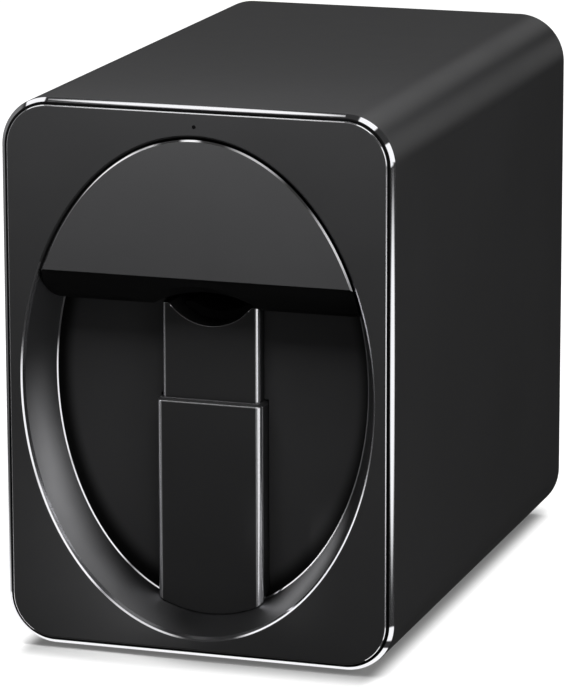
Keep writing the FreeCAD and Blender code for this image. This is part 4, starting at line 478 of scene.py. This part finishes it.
def make_corner_shade_group():
    """Mask of painted shade at the back wall's foot, the band just inside its elliptical outline."""
    group, _, leave = shader_group("recess_corner_painted_shade", {}, ("Mask",))
    coords = group.nodes.new("ShaderNodeTexCoord")
    scale = (1 / (THROAT[0] + CORNER_SHADE_MARGIN), 0, 1 / (THROAT[1] + CORNER_SHADE_MARGIN))
    steps = (("SUBTRACT", (0, 0, APERTURE_Z)), ("MULTIPLY", scale), ("LENGTH", None))
    share = vector_steps(group, coords.outputs["Object"], steps)
    feed(group, ramp(group, share, *CORNER_SHADE_BAND), leave.inputs["Mask"])
    return group


SURFACE = make_surface_group()
EDGES = make_edge_group()
CORNER = make_corner_shade_group()


# ---------------------------------------------------------------- finishes
def grey(value):
    """Grey with a trace of blue."""
    return (value, value, value * 1.03)


def finish_material(name, dark, light, rough, grain, metallic=0.0, bump=0.02, specular=0.5):
    """Principled material whose colour, roughness and relief come from the surface group."""
    material = bpy.data.materials.new(name)
    material.use_nodes = True
    tree = material.node_tree
    shader = tree.nodes["Principled BSDF"]
    surface = placed_group(tree, SURFACE, grain_scale=grain, roughness_low=rough[0], roughness_high=rough[1])
    colour = tree.nodes.new("ShaderNodeMix")
    colour.data_type = "RGBA"
    colour.inputs["A"].default_value = (*dark, 1)
    colour.inputs["B"].default_value = (*light, 1)
    relief = tree.nodes.new("ShaderNodeBump")
    relief.inputs["Strength"].default_value = 0.35
    relief.inputs["Distance"].default_value = bump * MM
    feed(tree, surface.outputs["Tint"], colour.inputs["Factor"])
    feed(tree, colour.outputs["Result"], shader.inputs["Base Color"])
    feed(tree, surface.outputs["Roughness"], shader.inputs["Roughness"])
    feed(tree, surface.outputs["Height"], relief.inputs["Height"])
    feed(tree, relief.outputs["Normal"], shader.inputs["Normal"])
    shader.inputs["Metallic"].default_value = metallic
    shader.inputs["Specular IOR Level"].default_value = specular
    return material


def polish_edges(material, start, end, tone, rough):
    """Let a finish turn to polished metal where its front edges are rounded."""
    tree = material.node_tree
    shader = tree.nodes["Principled BSDF"]
    mask = placed_group(tree, EDGES, start=start, end=end).outputs["Mask"]
    blend_over(tree, mask, shader.inputs["Base Color"], (*grey(tone), 1))
    blend_over(tree, mask, shader.inputs["Roughness"], rough)
    feed(tree, mask, shader.inputs["Metallic"])


def paint_corner_shade(material, tone):
    """Let a finish turn dark at the foot of the back wall, as painted shade."""
    tree = material.node_tree
    mask = placed_group(tree, CORNER).outputs["Mask"]
    blend_over(tree, mask, tree.nodes["Principled BSDF"].inputs["Base Color"], (*grey(tone), 1))


anodised = finish_material(
    "black_anodised_shell", grey(0.024), grey(0.034), (0.30, 0.36), 1400, bump=0.006, specular=0.22
)
panel_finish = finish_material(
    "matt_front_panel", grey(0.026), grey(0.034), (0.44, 0.52), 1500, bump=0.008, specular=0.25
)
bevel_finish = finish_material(
    "polished_bevel", grey(0.92), grey(0.98), (0.025, 0.05), 700, metallic=1.0, bump=0.0006
)
recess_finish = finish_material(
    "satin_recess", grey(0.20), grey(0.25), (0.33, 0.38), 1300, metallic=1.0, bump=0.003
)
wall_finish = finish_material(
    "matt_back_wall", grey(0.027), grey(0.036), (0.5, 0.58), 1500, bump=0.008, specular=0.25
)
# painted shade: darker, unpolished copy of the panel finish for the bevels at the panel's bottom and the
# aperture's top
panel_edge_shaded = finish_material(
    "panel_edge_painted_shade", grey(0.012), grey(0.018), (0.44, 0.52), 1500, bump=0.008, specular=0.2
)
hood_finish = finish_material(
    "satin_hood", grey(0.045), grey(0.056), (0.44, 0.52), 1500, bump=0.008, specular=0.3
)
# painted shade: near-black stand-in for shade in the shell's gap and inner wall, the panel's side walls and
# the hood's underside and arch
painted_shade_finish = finish_material(
    "painted_shade_black", grey(0.003), grey(0.006), (0.7, 0.8), 1500, bump=0.01, specular=0.05
)
rest_finish = finish_material(
    "satin_rest", grey(0.020), grey(0.026), (0.28, 0.34), 1500, bump=0.003, specular=0.3
)
rest_plain = finish_material(
    "satin_rest_chamfer", grey(0.014), grey(0.020), (0.30, 0.36), 1500, bump=0.003, specular=0.3
)
rubber = finish_material("matt_rubber", grey(0.010), grey(0.018), (0.7, 0.85), 900, bump=0.03, specular=0.15)
smoked_lens = finish_material("smoked_lens", grey(0.004), grey(0.006), (0.25, 0.35), 700, specular=0.2)
recess_floor = finish_material(
    "recess_floor_painted_shade", grey(0.027), grey(0.036), (0.5, 0.58), 1500, bump=0.008, specular=0.12
)
# painted shade: the back wall darkens to near black along the foot of its outline
paint_corner_shade(recess_floor, tone=0.003)
polish_edges(panel_finish, start=0.12, end=0.4, tone=0.96, rough=0.09)
polish_edges(hood_finish, start=0.06, end=0.25, tone=0.98, rough=0.05)
polish_edges(rest_finish, start=0.12, end=0.5, tone=0.9, rough=0.13)


# ---------------------------------------------------------------- recess geometry
def recess_ring(depth, inset=0.0):
    """Ring of the tapering recess at a depth."""
    share = depth / THROAT_DEPTH
    wide = APERTURE[0] + (THROAT[0] - APERTURE[0]) * share - inset
    high = APERTURE[1] + (THROAT[1] - APERTURE[1]) * share - inset
    return (at(depth), APERTURE_Z, wide, high)


def plug(name, places):
    """Closed elliptical solid through (depth, inset) places of the recess."""
    return cap_ends(rings(name, [recess_ring(depth, inset) for depth, inset in places]))


# ---------------------------------------------------------------- housing shell
def make_shell():
    """Extruded tube: rounded block, opened at both ends, given its wall and its polished front bevel."""
    lip = at(SHELL_SETBACK)
    piece = rounded_plate("shell_tube", HALF_BODY, BODY_LOW, BODY_HIGH, lip, REAR, BODY_CORNER)
    pick_faces(piece, lambda centre, normal: abs(normal.y) > 0.99)
    bpy.ops.mesh.inset(thickness=WALL)
    done(piece)

    def tube_end(centre, normal):
        return abs(normal.y) > 0.99 and near(centre.x, 0) and near(centre.z, BODY_MIDDLE, MM)

    pick_faces(piece, tube_end)
    bpy.ops.mesh.bridge_edge_loops()
    done(piece)
    on_front = on_plane("y", lip)
    slack = 0.3 * MM
    corner_x = HALF_BODY - BODY_CORNER
    corner_z = (BODY_HIGH - BODY_LOW) / 2 - BODY_CORNER

    def outside(point):
        x, z = abs(point.x), abs(point.z - BODY_MIDDLE)
        if x > corner_x and z > corner_z:
            return math.hypot(x - corner_x, z - corner_z) > BODY_CORNER - slack
        return x - corner_x > BODY_CORNER - slack or z - corner_z > BODY_CORNER - slack

    def front_rim(a, b):
        return on_front(a, b) and outside(a) and outside(b)

    def slanted(centre, normal):
        return -0.9 < normal.y < -0.4 and centre.y < lip + SHELL_BEVEL

    def lip_or_inside(centre, normal):
        outward = normal.x * centre.x + normal.z * (centre.z - BODY_MIDDLE)
        return normal.y < -0.75 and centre.y < lip + slack or outward < -2 * MM

    round_edges(piece, front_rim, SHELL_BEVEL, 1)
    piece.data.materials.append(anodised)
    give_faces(piece, bevel_finish, slanted)
    soften(piece, 0.2 * MM, angle=25, finish=0)
    # painted shade on the shell's front lip and inner wall, in the gap round the panel
    give_faces(piece, painted_shade_finish, lip_or_inside)
    smooth(piece, 25)
    stand_in(piece, anodised, "housing", "outer_shell")


# ---------------------------------------------------------------- front panel and recess
def make_front_panel():
    """Proud plate with bevelled outline, bevelled elliptical aperture and the light's pinhole."""
    back = at(PANEL_THICKNESS)
    piece = rounded_plate("front_plate", PLATE_HALF, PLATE_LOW, PLATE_HIGH, FRONT, back, PLATE_CORNER)
    round_edges(piece, on_plane("y", FRONT), PANEL_BEVEL, 3)
    combine(piece, plug("aperture_punch", APERTURE_CUT))
    combine(piece, bar("light_drill", LIGHT_HOLE, 0, LIGHT_HOLE_Z, at(-MM), at(3 * MM), 32))
    piece.data.materials.append(panel_finish)

    # painted shade on the bevels that face down at the panel's bottom and at the aperture's top
    def painted_shade_bevel(centre, normal):
        slanted = -0.99 < normal.y < -0.05
        below = centre.z < PLATE_LOW + 2 * MM and normal.z < 0
        above = centre.z > HOOD_EDGE_Z and abs(centre.x) < THROAT[0] and normal.z < 0
        return slanted and (below or above)

    give_faces(piece, panel_edge_shaded, painted_shade_bevel)
    # painted shade on the panel's side walls, in the gaps and the pinhole
    give_faces(piece, painted_shade_finish, lambda centre, normal: abs(normal.y) < 0.05)
    smooth(piece, 25)
    stand_in(piece, panel_finish, "housing", "front_panel")


def make_recess():
    """Tapering wall of the recess with its lip, the undercut behind it and the mounting flange."""
    bead_start = THROAT_DEPTH - 0.45 * MM
    bead_end = THROAT_DEPTH - 0.2 * MM
    bead = 0.25 * MM
    lip_end = THROAT_DEPTH + 0.4 * MM
    flare = 0.3 * MM
    bead_highlight_limit = 0.6 * THROAT[0]
    hollow = recess_ring(THROAT_DEPTH, -UNDERCUT)[2:]
    skirt = recess_ring(THROAT_DEPTH, -UNDERCUT - RECESS_WALL)[2:]
    skirt_start = THROAT_DEPTH - RECESS_WALL
    places = [
        recess_ring(PANEL_THICKNESS),
        recess_ring(bead_start),
        recess_ring(bead_end, bead),
        recess_ring(THROAT_DEPTH, bead),
        recess_ring(lip_end, -flare),
        (at(lip_end), APERTURE_Z, *hollow),
        (at(BACK_WALL_DEPTH), APERTURE_Z, *hollow),
        (at(BACK_WALL_DEPTH), APERTURE_Z, *skirt),
        (at(skirt_start), APERTURE_Z, *skirt),
        recess_ring(skirt_start, -RECESS_WALL),
        recess_ring(PANEL_THICKNESS, -RECESS_WALL),
    ]
    piece = join_ends(rings("recess_cone", places))
    piece.data.materials.append(recess_finish)

    # painted highlight: only the bead's left and middle get the polished finish, its right part stays satin
    def polished(centre, normal):
        return at(bead_start) < centre.y < at(bead_end) and centre.x < bead_highlight_limit

    give_faces(piece, bevel_finish, polished)
    smooth(piece, 25)
    start, end = PANEL_THICKNESS, PANEL_THICKNESS + FLANGE
    flange = rounded_plate(
        "recess_flange", PLATE_HALF, PLATE_LOW, PLATE_HIGH, at(start), at(end), PLATE_CORNER, 16
    )
    inset = -0.5 * RECESS_WALL
    combine(flange, plug("flange_hole", [(start - MM, inset), (end + MM, inset)]))
    smooth(flange, 25)
    take(piece)
    flange.select_set(True)
    bpy.ops.object.join()
    stand_in(piece, recess_finish, "housing", "recess_bezel")


# ---------------------------------------------------------------- hood
def roll_profile(name, radius, centre_depth, lip, edge_z):
    """Solid above the rolled underside: an arc spun from the lip, closed over the top, drawn out sideways."""
    run = centre_depth - lip
    lip_z = ROLL_Z - math.sqrt(radius * radius - run * run)
    side = -HALF_BODY
    back = at(HOOD_DEPTH + 2 * MM)
    ahead = at(-2 * MM)
    foot_z = ROLL_Z - radius
    ready()
    bpy.ops.mesh.primitive_plane_add(size=MM, location=(side, at(lip), lip_z))
    piece = named(name)
    take(piece)
    bpy.ops.object.mode_set(mode="EDIT")
    bpy.ops.mesh.select_mode(type="VERT")
    bpy.ops.mesh.select_all(action="SELECT")
    bpy.ops.mesh.merge(type="CENTER")
    bpy.ops.mesh.spin(
        steps=ROLL_STEPS,
        angle=-math.atan2(run, ROLL_Z - lip_z),
        center=(side, at(centre_depth), ROLL_Z),
        axis=(1, 0, 0),
        use_auto_merge=False,
    )
    path = [
        (at(centre_depth), foot_z),
        (back, foot_z),
        (back, BODY_HIGH),
        (ahead, BODY_HIGH),
        (ahead, edge_z),
        (at(0), edge_z),
    ]
    for start, end in zip(path, path[1:]):
        move = (0, end[0] - start[0], end[1] - start[1])
        bpy.ops.mesh.extrude_vertices_move(TRANSFORM_OT_translate={"value": move})
    bpy.ops.mesh.select_all(action="SELECT")
    bpy.ops.mesh.edge_face_add()
    bpy.ops.mesh.extrude_region_move(TRANSFORM_OT_translate={"value": (2 * HALF_BODY, 0, 0)})
    return close_up(piece)


def finger_funnel(name, grow):
    """Tunnel for the finger: sinks and widens over its first part, then runs straight."""
    places = []
    for depth in (-HOOD_LIP, ARCH_FUNNEL, HOOD_DEPTH + 2 * MM):
        run = min(depth, ARCH_FUNNEL)
        radius = ARCH_RADIUS + ARCH_FLARE * run + grow
        apex = ARCH_APEX_Z - ARCH_SLOPE * run + grow
        places.append((at(depth), apex - radius, radius, radius))
    return cap_ends(rings(name, places, FUNNEL_STEPS))


def make_hood():
    """Half-moon cover: bevelled elliptical plug with rolled underside, hollow behind, and the finger arch."""
    piece = plug("hood_shell", HOOD_OUTLINE)
    roll = roll_profile("hood_roll", ROLL_RADIUS, HOOD_DEPTH, HOOD_LIP, HOOD_EDGE_Z)
    combine(piece, roll, "INTERSECT")
    inset = HOOD_GAP + HOOD_WALL
    inner = plug("hood_hollow", [(HOOD_WALL, inset), (HOOD_DEPTH + MM, inset)])
    inner_radius = ROLL_RADIUS - HOOD_WALL
    inner_edge_z = HOOD_EDGE_Z + HOOD_WALL
    inner_roll = roll_profile("hood_inner_roll", inner_radius, BACK_WALL_DEPTH, INNER_LIP, inner_edge_z)
    combine(inner, inner_roll, "INTERSECT")
    combine(inner, finger_funnel("arch_lining", ARCH_LINING))
    for side in (-1, 1):
        boss_end = at(HOOD_DEPTH + 3 * MM)
        combine(inner, bar("magnet_boss", MAGNET_BOSS, side * MAGNET_X, MAGNET_Z, at(0), boss_end))
    combine(piece, inner)
    combine(piece, finger_funnel("arch_cut", 0.0))
    notch = REST_HALF + 2 * REST_GAP
    low = (-notch, at(REST_FACE - 2 * REST_GAP), BODY_LOW)
    high = (notch, at(HOOD_DEPTH + MM), NOTCH_TOP)
    combine(piece, block("rest_notch", low, high))
    for side in (-1, 1):
        start, end = at(HOOD_DEPTH - MAGNET_DEPTH), at(HOOD_DEPTH + MM)
        combine(piece, bar("magnet_seat", MAGNET_SEAT, side * MAGNET_X, MAGNET_Z, start, end))
    piece.data.materials.append(hood_finish)

    def underside(centre, normal):
        rolled = centre.y > at(1.5 * MM) and normal.z < -0.2
        return centre.z < HOOD_EDGE_Z + 0.3 * MM or normal.y > 0.3 or rolled

    # painted shade on the hood's underside, arch and back
    give_faces(piece, painted_shade_finish, underside)
    smooth(piece, 32)
    stand_in(piece, hood_finish, "hood", "hood_cover")


# ---------------------------------------------------------------- finger rest
def make_sleeve():
    """Fixed guide: rounded post with a bevelled top, trimmed to the recess, hollow for the finger rest."""
    low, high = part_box("rest_sleeve")
    piece = block("sleeve_post", (-SLEEVE_HALF, at(SLEEVE_FACE), low.z), (SLEEVE_HALF, high.y, SLEEVE_TOP))
    round_edges(piece, along("z"), SLEEVE_CORNER, 10)
    round_edges(piece, on_plane("z", SLEEVE_TOP), MM, 1)
    for level, width in ((SLEEVE_TOP - MM, 0.22 * MM), (SLEEVE_TOP, 0.18 * MM)):
        round_edges(piece, on_plane("z", level), width, 2, False)
    end = BACK_WALL_DEPTH + SLEEVE_TRIM
    trim = block("sleeve_front", (-30 * MM, at(0), 0), (30 * MM, at(end), 100 * MM))
    combine(trim, plug("sleeve_zone", [(SLEEVE_FACE - MM, SLEEVE_GAP), (end, SLEEVE_GAP)]))
    combine(piece, trim)
    half = REST_HALF + REST_GAP
    start = (-half, at(REST_FACE - REST_GAP), SLEEVE_FLOOR)
    end = (half, at(REST_FACE + REST_LENGTH + REST_GAP), SLEEVE_TOP + MM)
    combine(piece, round_edges(block("sleeve_cavity", start, end), along("z"), REST_CORNER, 8))
    piece.data.materials.append(rest_finish)
    give_faces(piece, rest_plain, lambda centre, normal: centre.z > SLEEVE_TOP - MM and 0.6 < normal.z < 0.8)
    smooth(piece, 30)
    stand_in(piece, rest_finish, "housing", "rest_sleeve")


def make_finger_rest():
    """Sliding column: rounded post, scooped top with soft shoulders, hollowed from below."""
    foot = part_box("finger_rest")[0].z
    front, back = at(REST_FACE), at(REST_FACE + REST_LENGTH)
    piece = block("rest_post", (-REST_HALF, front, foot), (REST_HALF, back, REST_TOP))
    round_edges(piece, along("z"), REST_CORNER, 8)
    scoop_z = REST_TOP - SCOOP_DEPTH + SCOOP_RADIUS
    start, end = at(REST_FACE - MM), at(REST_FACE + REST_LENGTH + MM)
    combine(piece, bar("scoop", SCOOP_RADIUS, 0, scoop_z, start, end, 192))
    half_scoop = math.sqrt(SCOOP_DEPTH * (2 * SCOOP_RADIUS - SCOOP_DEPTH))
    corner_x = REST_HALF - REST_CORNER - 0.1 * MM
    on_top = on_plane("z", REST_TOP)
    on_front = on_plane("y", front)

    def shoulder(a, b):
        by_scoop = near(abs(a.x), half_scoop, 0.05 * MM) and near(abs(b.x), half_scoop, 0.05 * MM)
        return on_top(a, b) and by_scoop

    def rim(a, b):
        face = on_front(a, b) and min(a.z, b.z) > REST_TOP - 8 * MM
        top = on_top(a, b) and min(abs(a.x), abs(b.x)) > corner_x
        return face or top

    round_edges(piece, shoulder, 1.6 * MM, 8)
    pick_faces(piece, lambda centre, normal: normal.z < -0.9 and near(centre.z, foot))
    bpy.ops.mesh.inset(thickness=REST_WALL)
    bpy.ops.mesh.extrude_region_move(TRANSFORM_OT_translate={"value": (0, 0, REST_HOLLOW)})
    done(piece)
    round_edges(piece, rim, 0.3 * MM, 2, False)
    smooth(piece, 35)
    stand_in(piece, rest_finish, "rest", "finger_rest")


# ---------------------------------------------------------------- other outside pieces
def soften_node(node, name, width, material, body):
    """Merged copy of a node with its edges rounded by a hair."""
    piece = merged_copy(node, name)
    soften(piece, width)
    smooth(piece)
    stand_in(piece, material, body, node)


make_shell()
make_front_panel()
make_recess()
make_hood()
make_sleeve()
make_finger_rest()
soften_node("rubber_feet", "feet", 0.25 * MM, rubber, "housing")
soften_node("finger_pad", "cradle_pad", 0.15 * MM, rubber, "rest")
soften_node("rear_cover", "rear_panel", 0.12 * MM, panel_finish, "housing")
soften_node("power_button", "rear_button", 0.2 * MM, rest_finish, "button")

# ---------------------------------------------------------------- finishes of the nodes kept from the frame
NODE_FINISHES = {
    "steel": finish_material(
        "ground_steel", grey(0.42), grey(0.55), (0.22, 0.34), 500, metallic=1.0, bump=0.006
    ),
    "spring_steel": finish_material("spring_wire", grey(0.3), grey(0.42), (0.3, 0.42), 600, metallic=1.0),
    "frame_steel": finish_material("coated_sheet", grey(0.05), grey(0.08), (0.5, 0.65), 900),
    "cast_grey": finish_material(
        "die_cast", grey(0.22), grey(0.3), (0.4, 0.55), 500, metallic=1.0, bump=0.03
    ),
    "carriage_grey": finish_material("carriage_moulding", grey(0.05), grey(0.08), (0.45, 0.6), 900),
    "cartridge_black": finish_material("cartridge_moulding", grey(0.015), grey(0.025), (0.25, 0.4), 900),
    "nozzle_gold": finish_material(
        "nozzle_plating", (0.55, 0.38, 0.14), (0.7, 0.5, 0.2), (0.2, 0.32), 800, metallic=1.0
    ),
    "bronze": finish_material(
        "sintered_bronze", (0.3, 0.19, 0.08), (0.4, 0.26, 0.12), (0.45, 0.6), 900, metallic=1.0
    ),
    "magnet_nickel": finish_material(
        "nickel_plating", grey(0.5), grey(0.6), (0.12, 0.22), 700, metallic=1.0
    ),
    "board_green": finish_material(
        "solder_mask", (0.01, 0.07, 0.025), (0.02, 0.11, 0.04), (0.3, 0.42), 500
    ),
    "chip_black": finish_material("moulded_package", grey(0.02), grey(0.03), (0.5, 0.65), 1200),
    "lens_glass": finish_material("coated_lens", grey(0.02), (0.03, 0.02, 0.06), (0.03, 0.08), 300),
    "light_white": finish_material(
        "light_package", (0.6, 0.58, 0.5), (0.7, 0.68, 0.6), (0.3, 0.45), 600
    ),
    "port_metal": finish_material(
        "stamped_steel", grey(0.35), grey(0.48), (0.28, 0.4), 500, metallic=1.0
    ),
    "screw_black": finish_material(
        "black_oxide", grey(0.02), grey(0.04), (0.35, 0.5), 700, metallic=1.0
    ),
    "shell_black": anodised,
    "panel_black": panel_finish,
    "moulding_black": wall_finish,
    "hood_black": hood_finish,
    "rest_black": rest_finish,
    "rubber_black": rubber,
    "lens_smoked": smoked_lens,
}
for entry in frame["record"]["subparts"]:
    holder = nodes[entry["node"]]
    holder.data.materials.clear()
    holder.data.materials.append(NODE_FINISHES[entry["material_slot"]])
# the back wall gets the finish with painted shade at its foot
nodes["recess_back_wall"].data.materials[0] = recess_floor


# ---------------------------------------------------------------- stage
FLOOR_TONE = 0.37
GLOW_IN_PAINTED_SHADOW = 0.14  # share of white glow inside the painted shadow
PAINTED_SHADOW_FADE = 23 * MM  # way from the painted shadow's box to plain white
# painted shadow: box round the footprint, inside which the floor keeps its grey
PAINTED_SHADOW_BOX = (HALF_BODY - 9.5 * MM, REAR - 5 * MM, 0)
PAINTED_SHADOW_STRETCH = (2.6, 1, 1)  # the painted shadow fades faster on the left and right


def make_floor():
    """Large pale floor, plain white further out; near the object the white glow is cut down, a painted shadow
    over the real one.
    """
    ready()
    bpy.ops.mesh.primitive_plane_add(size=8, location=(0, 0, 0))
    floor = named("floor")
    material = bpy.data.materials.new("pale_floor")
    material.use_nodes = True
    tree = material.node_tree
    shader = tree.nodes["Principled BSDF"]
    shader.inputs["Base Color"].default_value = (FLOOR_TONE, FLOOR_TONE, FLOOR_TONE, 1)
    shader.inputs["Roughness"].default_value = 0.9
    shader.inputs["Specular IOR Level"].default_value = 0.0
    shader.inputs["Emission Color"].default_value = (1, 1, 1, 1)
    coords = tree.nodes.new("ShaderNodeTexCoord")
    steps = (
        ("ABSOLUTE", None),
        ("SUBTRACT", PAINTED_SHADOW_BOX),
        ("MAXIMUM", (0, 0, 0)),
        ("MULTIPLY", PAINTED_SHADOW_STRETCH),
        ("LENGTH", None),
    )
    painted_shadow_distance = vector_steps(tree, coords.outputs["Object"], steps)
    white = ramp(tree, painted_shadow_distance, 0.0, PAINTED_SHADOW_FADE, low=GLOW_IN_PAINTED_SHADOW)
    path, seen = seen_rays(tree)
    seen = math_node(tree, "MAXIMUM", seen, path.outputs["Is Glossy Ray"])
    feed(tree, math_node(tree, "MULTIPLY", seen, white), shader.inputs["Emission Strength"])
    floor.data.materials.append(material)
    floor.visible_glossy = False


WHITE_ZONES = [
    # direction, inner and outer half angle in degrees, share of white
    ((-0.324, -0.178, 0.930), 1.5, 2.2, 1.0),
    ((-0.34, -0.34, 0.87), 5, 8, 1.0),
    ((-0.63, -0.07, 0.775), 13, 15.5, 1.0),
    ((-0.96, 0.225, 0.164), 20, 28, 0.15),
    ((0.31, -0.28, 0.91), 13, 16, 1.0),
    ((0.915, -0.30, 0.20), 13, 16, 1.0),
    ((0.92, -0.39, -0.08), 4, 7.5, 1.0),
    ((0.930, -0.2805, -0.238), 1.6, 2.8, 1.0),
    ((0.866, -0.437, -0.243), 5, 7.5, 1.0),
    ((0.84, -0.22, -0.49), 9.5, 12.5, 1.0),
    ((0.36, 0.013, -0.933), 17, 19, 1.0),
    ((0.0, 0.17, -0.985), 14, 18, 1.0),
    ((-0.30, 0.25, -0.92), 7, 12, 1.0),
    ((-0.66, 0.452, -0.60), 22, 25, 1.0),
    ((0.12, -0.74, 0.66), 9, 22, 0.75),
    ((0.52, -0.80, 0.25), 14, 22, 1.0),
    ((0.68, -0.73, -0.12), 9, 15, 1.0),
    ((0.20, -0.95, -0.23), 3, 8, 1.0),
    ((-0.64, -0.73, -0.23), 5, 10, 1.0),
    ((-0.83, -0.40, 0.38), 12, 22, 1.0),
    ((-0.96, -0.28, 0.05), 9, 16, 1.0),
    ((0.03, 0.93, 0.37), 4, 13, 0.48),
    ((0.37, 0.92, 0.08), 4, 13, 0.42),
    ((-0.31, 0.93, 0.21), 2, 16, 0.08),
]
ROOM_LIGHT = 0.065  # grey of the room where it lights matt faces
ROOM_MIRRORED = 0.035  # grey of the room between the white zones


def make_world():
    """White surroundings for camera and glass; polished metal sees them in zones, as between black cards."""
    world = bpy.data.worlds.new("studio")
    bpy.context.scene.world = world
    world.use_nodes = True
    tree = world.node_tree
    tree.nodes.clear()
    output = tree.nodes.new("ShaderNodeOutputWorld")
    coords = tree.nodes.new("ShaderNodeTexCoord")
    zones = 0.0
    for direction, inner, outer, share in WHITE_ZONES:
        steps = [("DOT_PRODUCT", Vector(direction).normalized())]
        toward = vector_steps(tree, coords.outputs["Generated"], steps)
        start, end = math.cos(math.radians(outer)), math.cos(math.radians(inner))
        zones = math_node(tree, "MAXIMUM", zones, ramp(tree, toward, start, end, high=share))
    path, seen = seen_rays(tree)
    glossy = path.outputs["Is Glossy Ray"]
    white = math_node(tree, "MAXIMUM", seen, math_node(tree, "MULTIPLY", glossy, zones))
    room_tone = math_node(tree, "MULTIPLY_ADD", glossy, ROOM_MIRRORED - ROOM_LIGHT, ROOM_LIGHT)
    room = tree.nodes.new("ShaderNodeBackground")
    feed(tree, room_tone, room.inputs["Color"])
    background = tree.nodes.new("ShaderNodeBackground")
    background.inputs["Color"].default_value = (1, 1, 1, 1)
    mix = tree.nodes.new("ShaderNodeMixShader")
    feed(tree, white, mix.inputs["Fac"])
    feed(tree, room.outputs["Background"], mix.inputs[1])
    feed(tree, background.outputs["Background"], mix.inputs[2])
    feed(tree, mix.outputs["Shader"], output.inputs["Surface"])


# ---------------------------------------------------------------- light and camera
def hang_lamp(kind, name, location, target, power):
    """Lamp that faces a point and is hidden from the camera."""
    ready()
    bpy.ops.object.light_add(type=kind, location=location)
    lamp = bpy.context.object
    lamp.name = name
    lamp.data.energy = power
    lamp.visible_camera = False
    lamp.rotation_euler = (Vector(target) - Vector(location)).to_track_quat("-Z", "Y").to_euler()
    return lamp


def softbox(name, location, target, size, power):
    """Rectangular lamp that no mirror-like face shows."""
    lamp = hang_lamp("AREA", name, location, target, power)
    lamp.data.shape = "RECTANGLE"
    lamp.data.size = size[0]
    lamp.data.size_y = size[1]
    lamp.visible_glossy = False


def spot(name, location, target, cone, squeeze, power):
    """Narrow soft-edged beam, squeezed sideways."""
    lamp = hang_lamp("SPOT", name, location, target, power)
    lamp.data.spot_size = math.radians(cone)
    lamp.data.spot_blend = 1.0
    lamp.data.shadow_soft_size = 6 * MM
    lamp.scale = (squeeze, 1, 1)


CAMERA_PLACE = (0.43937, -1.35036, 0.41307)
CAMERA_AZIMUTH = math.radians(18.1785)
CAMERA_ELEVATION = math.radians(13.2556)
CAMERA_ROLL = math.radians(-0.1408)
SENSOR = 36
FOCAL_SHARE = 4509.35 / 687  # focal length over the height of the picture


def make_camera():
    """Long lens, a little to the right and above."""
    forward = math.cos(CAMERA_ELEVATION)
    back = Vector((
        math.sin(CAMERA_AZIMUTH) * forward,
        -math.cos(CAMERA_AZIMUTH) * forward,
        math.sin(CAMERA_ELEVATION),
    ))
    level = Vector((math.cos(CAMERA_AZIMUTH), math.sin(CAMERA_AZIMUTH), 0))
    rise = back.cross(level)
    right = math.cos(CAMERA_ROLL) * level + math.sin(CAMERA_ROLL) * rise
    up = -math.sin(CAMERA_ROLL) * level + math.cos(CAMERA_ROLL) * rise
    ready()
    bpy.ops.object.camera_add(location=CAMERA_PLACE)
    camera = bpy.context.object
    camera.name = "catalogue_camera"
    camera.rotation_euler = Matrix((right, up, back)).transposed().to_euler()
    camera.data.sensor_fit = "VERTICAL"
    camera.data.sensor_height = SENSOR
    camera.data.lens = FOCAL_SHARE * SENSOR
    camera.data.clip_end = 20
    bpy.context.scene.camera = camera


make_floor()
make_world()
softbox("front_top_box", (0.0, -0.19, 0.28), (0.0, -0.1, 0.15), size=(0.24, 0.08), power=0.56)
softbox("overhead_box", (0.0, 0.2, 1.3), (0, 0, 0.1), size=(1.4, 0.6), power=13)
softbox("side_box", (0.48, -0.22, 0.2), (0.06, -0.06, 0.09), size=(0.25, 0.3), power=0.85)
spot("left_wall_spot", (0.045, -0.111, 0.031), (-0.052, -0.0918, 0.031), cone=66, squeeze=0.17, power=1.55)
spot("right_wall_spot", (-0.045, -0.118, 0.085), (0.036, -0.0892, 0.029), cone=26, squeeze=0.34, power=2.0)
make_camera()
bpy.context.scene.view_settings.view_transform = "Standard"
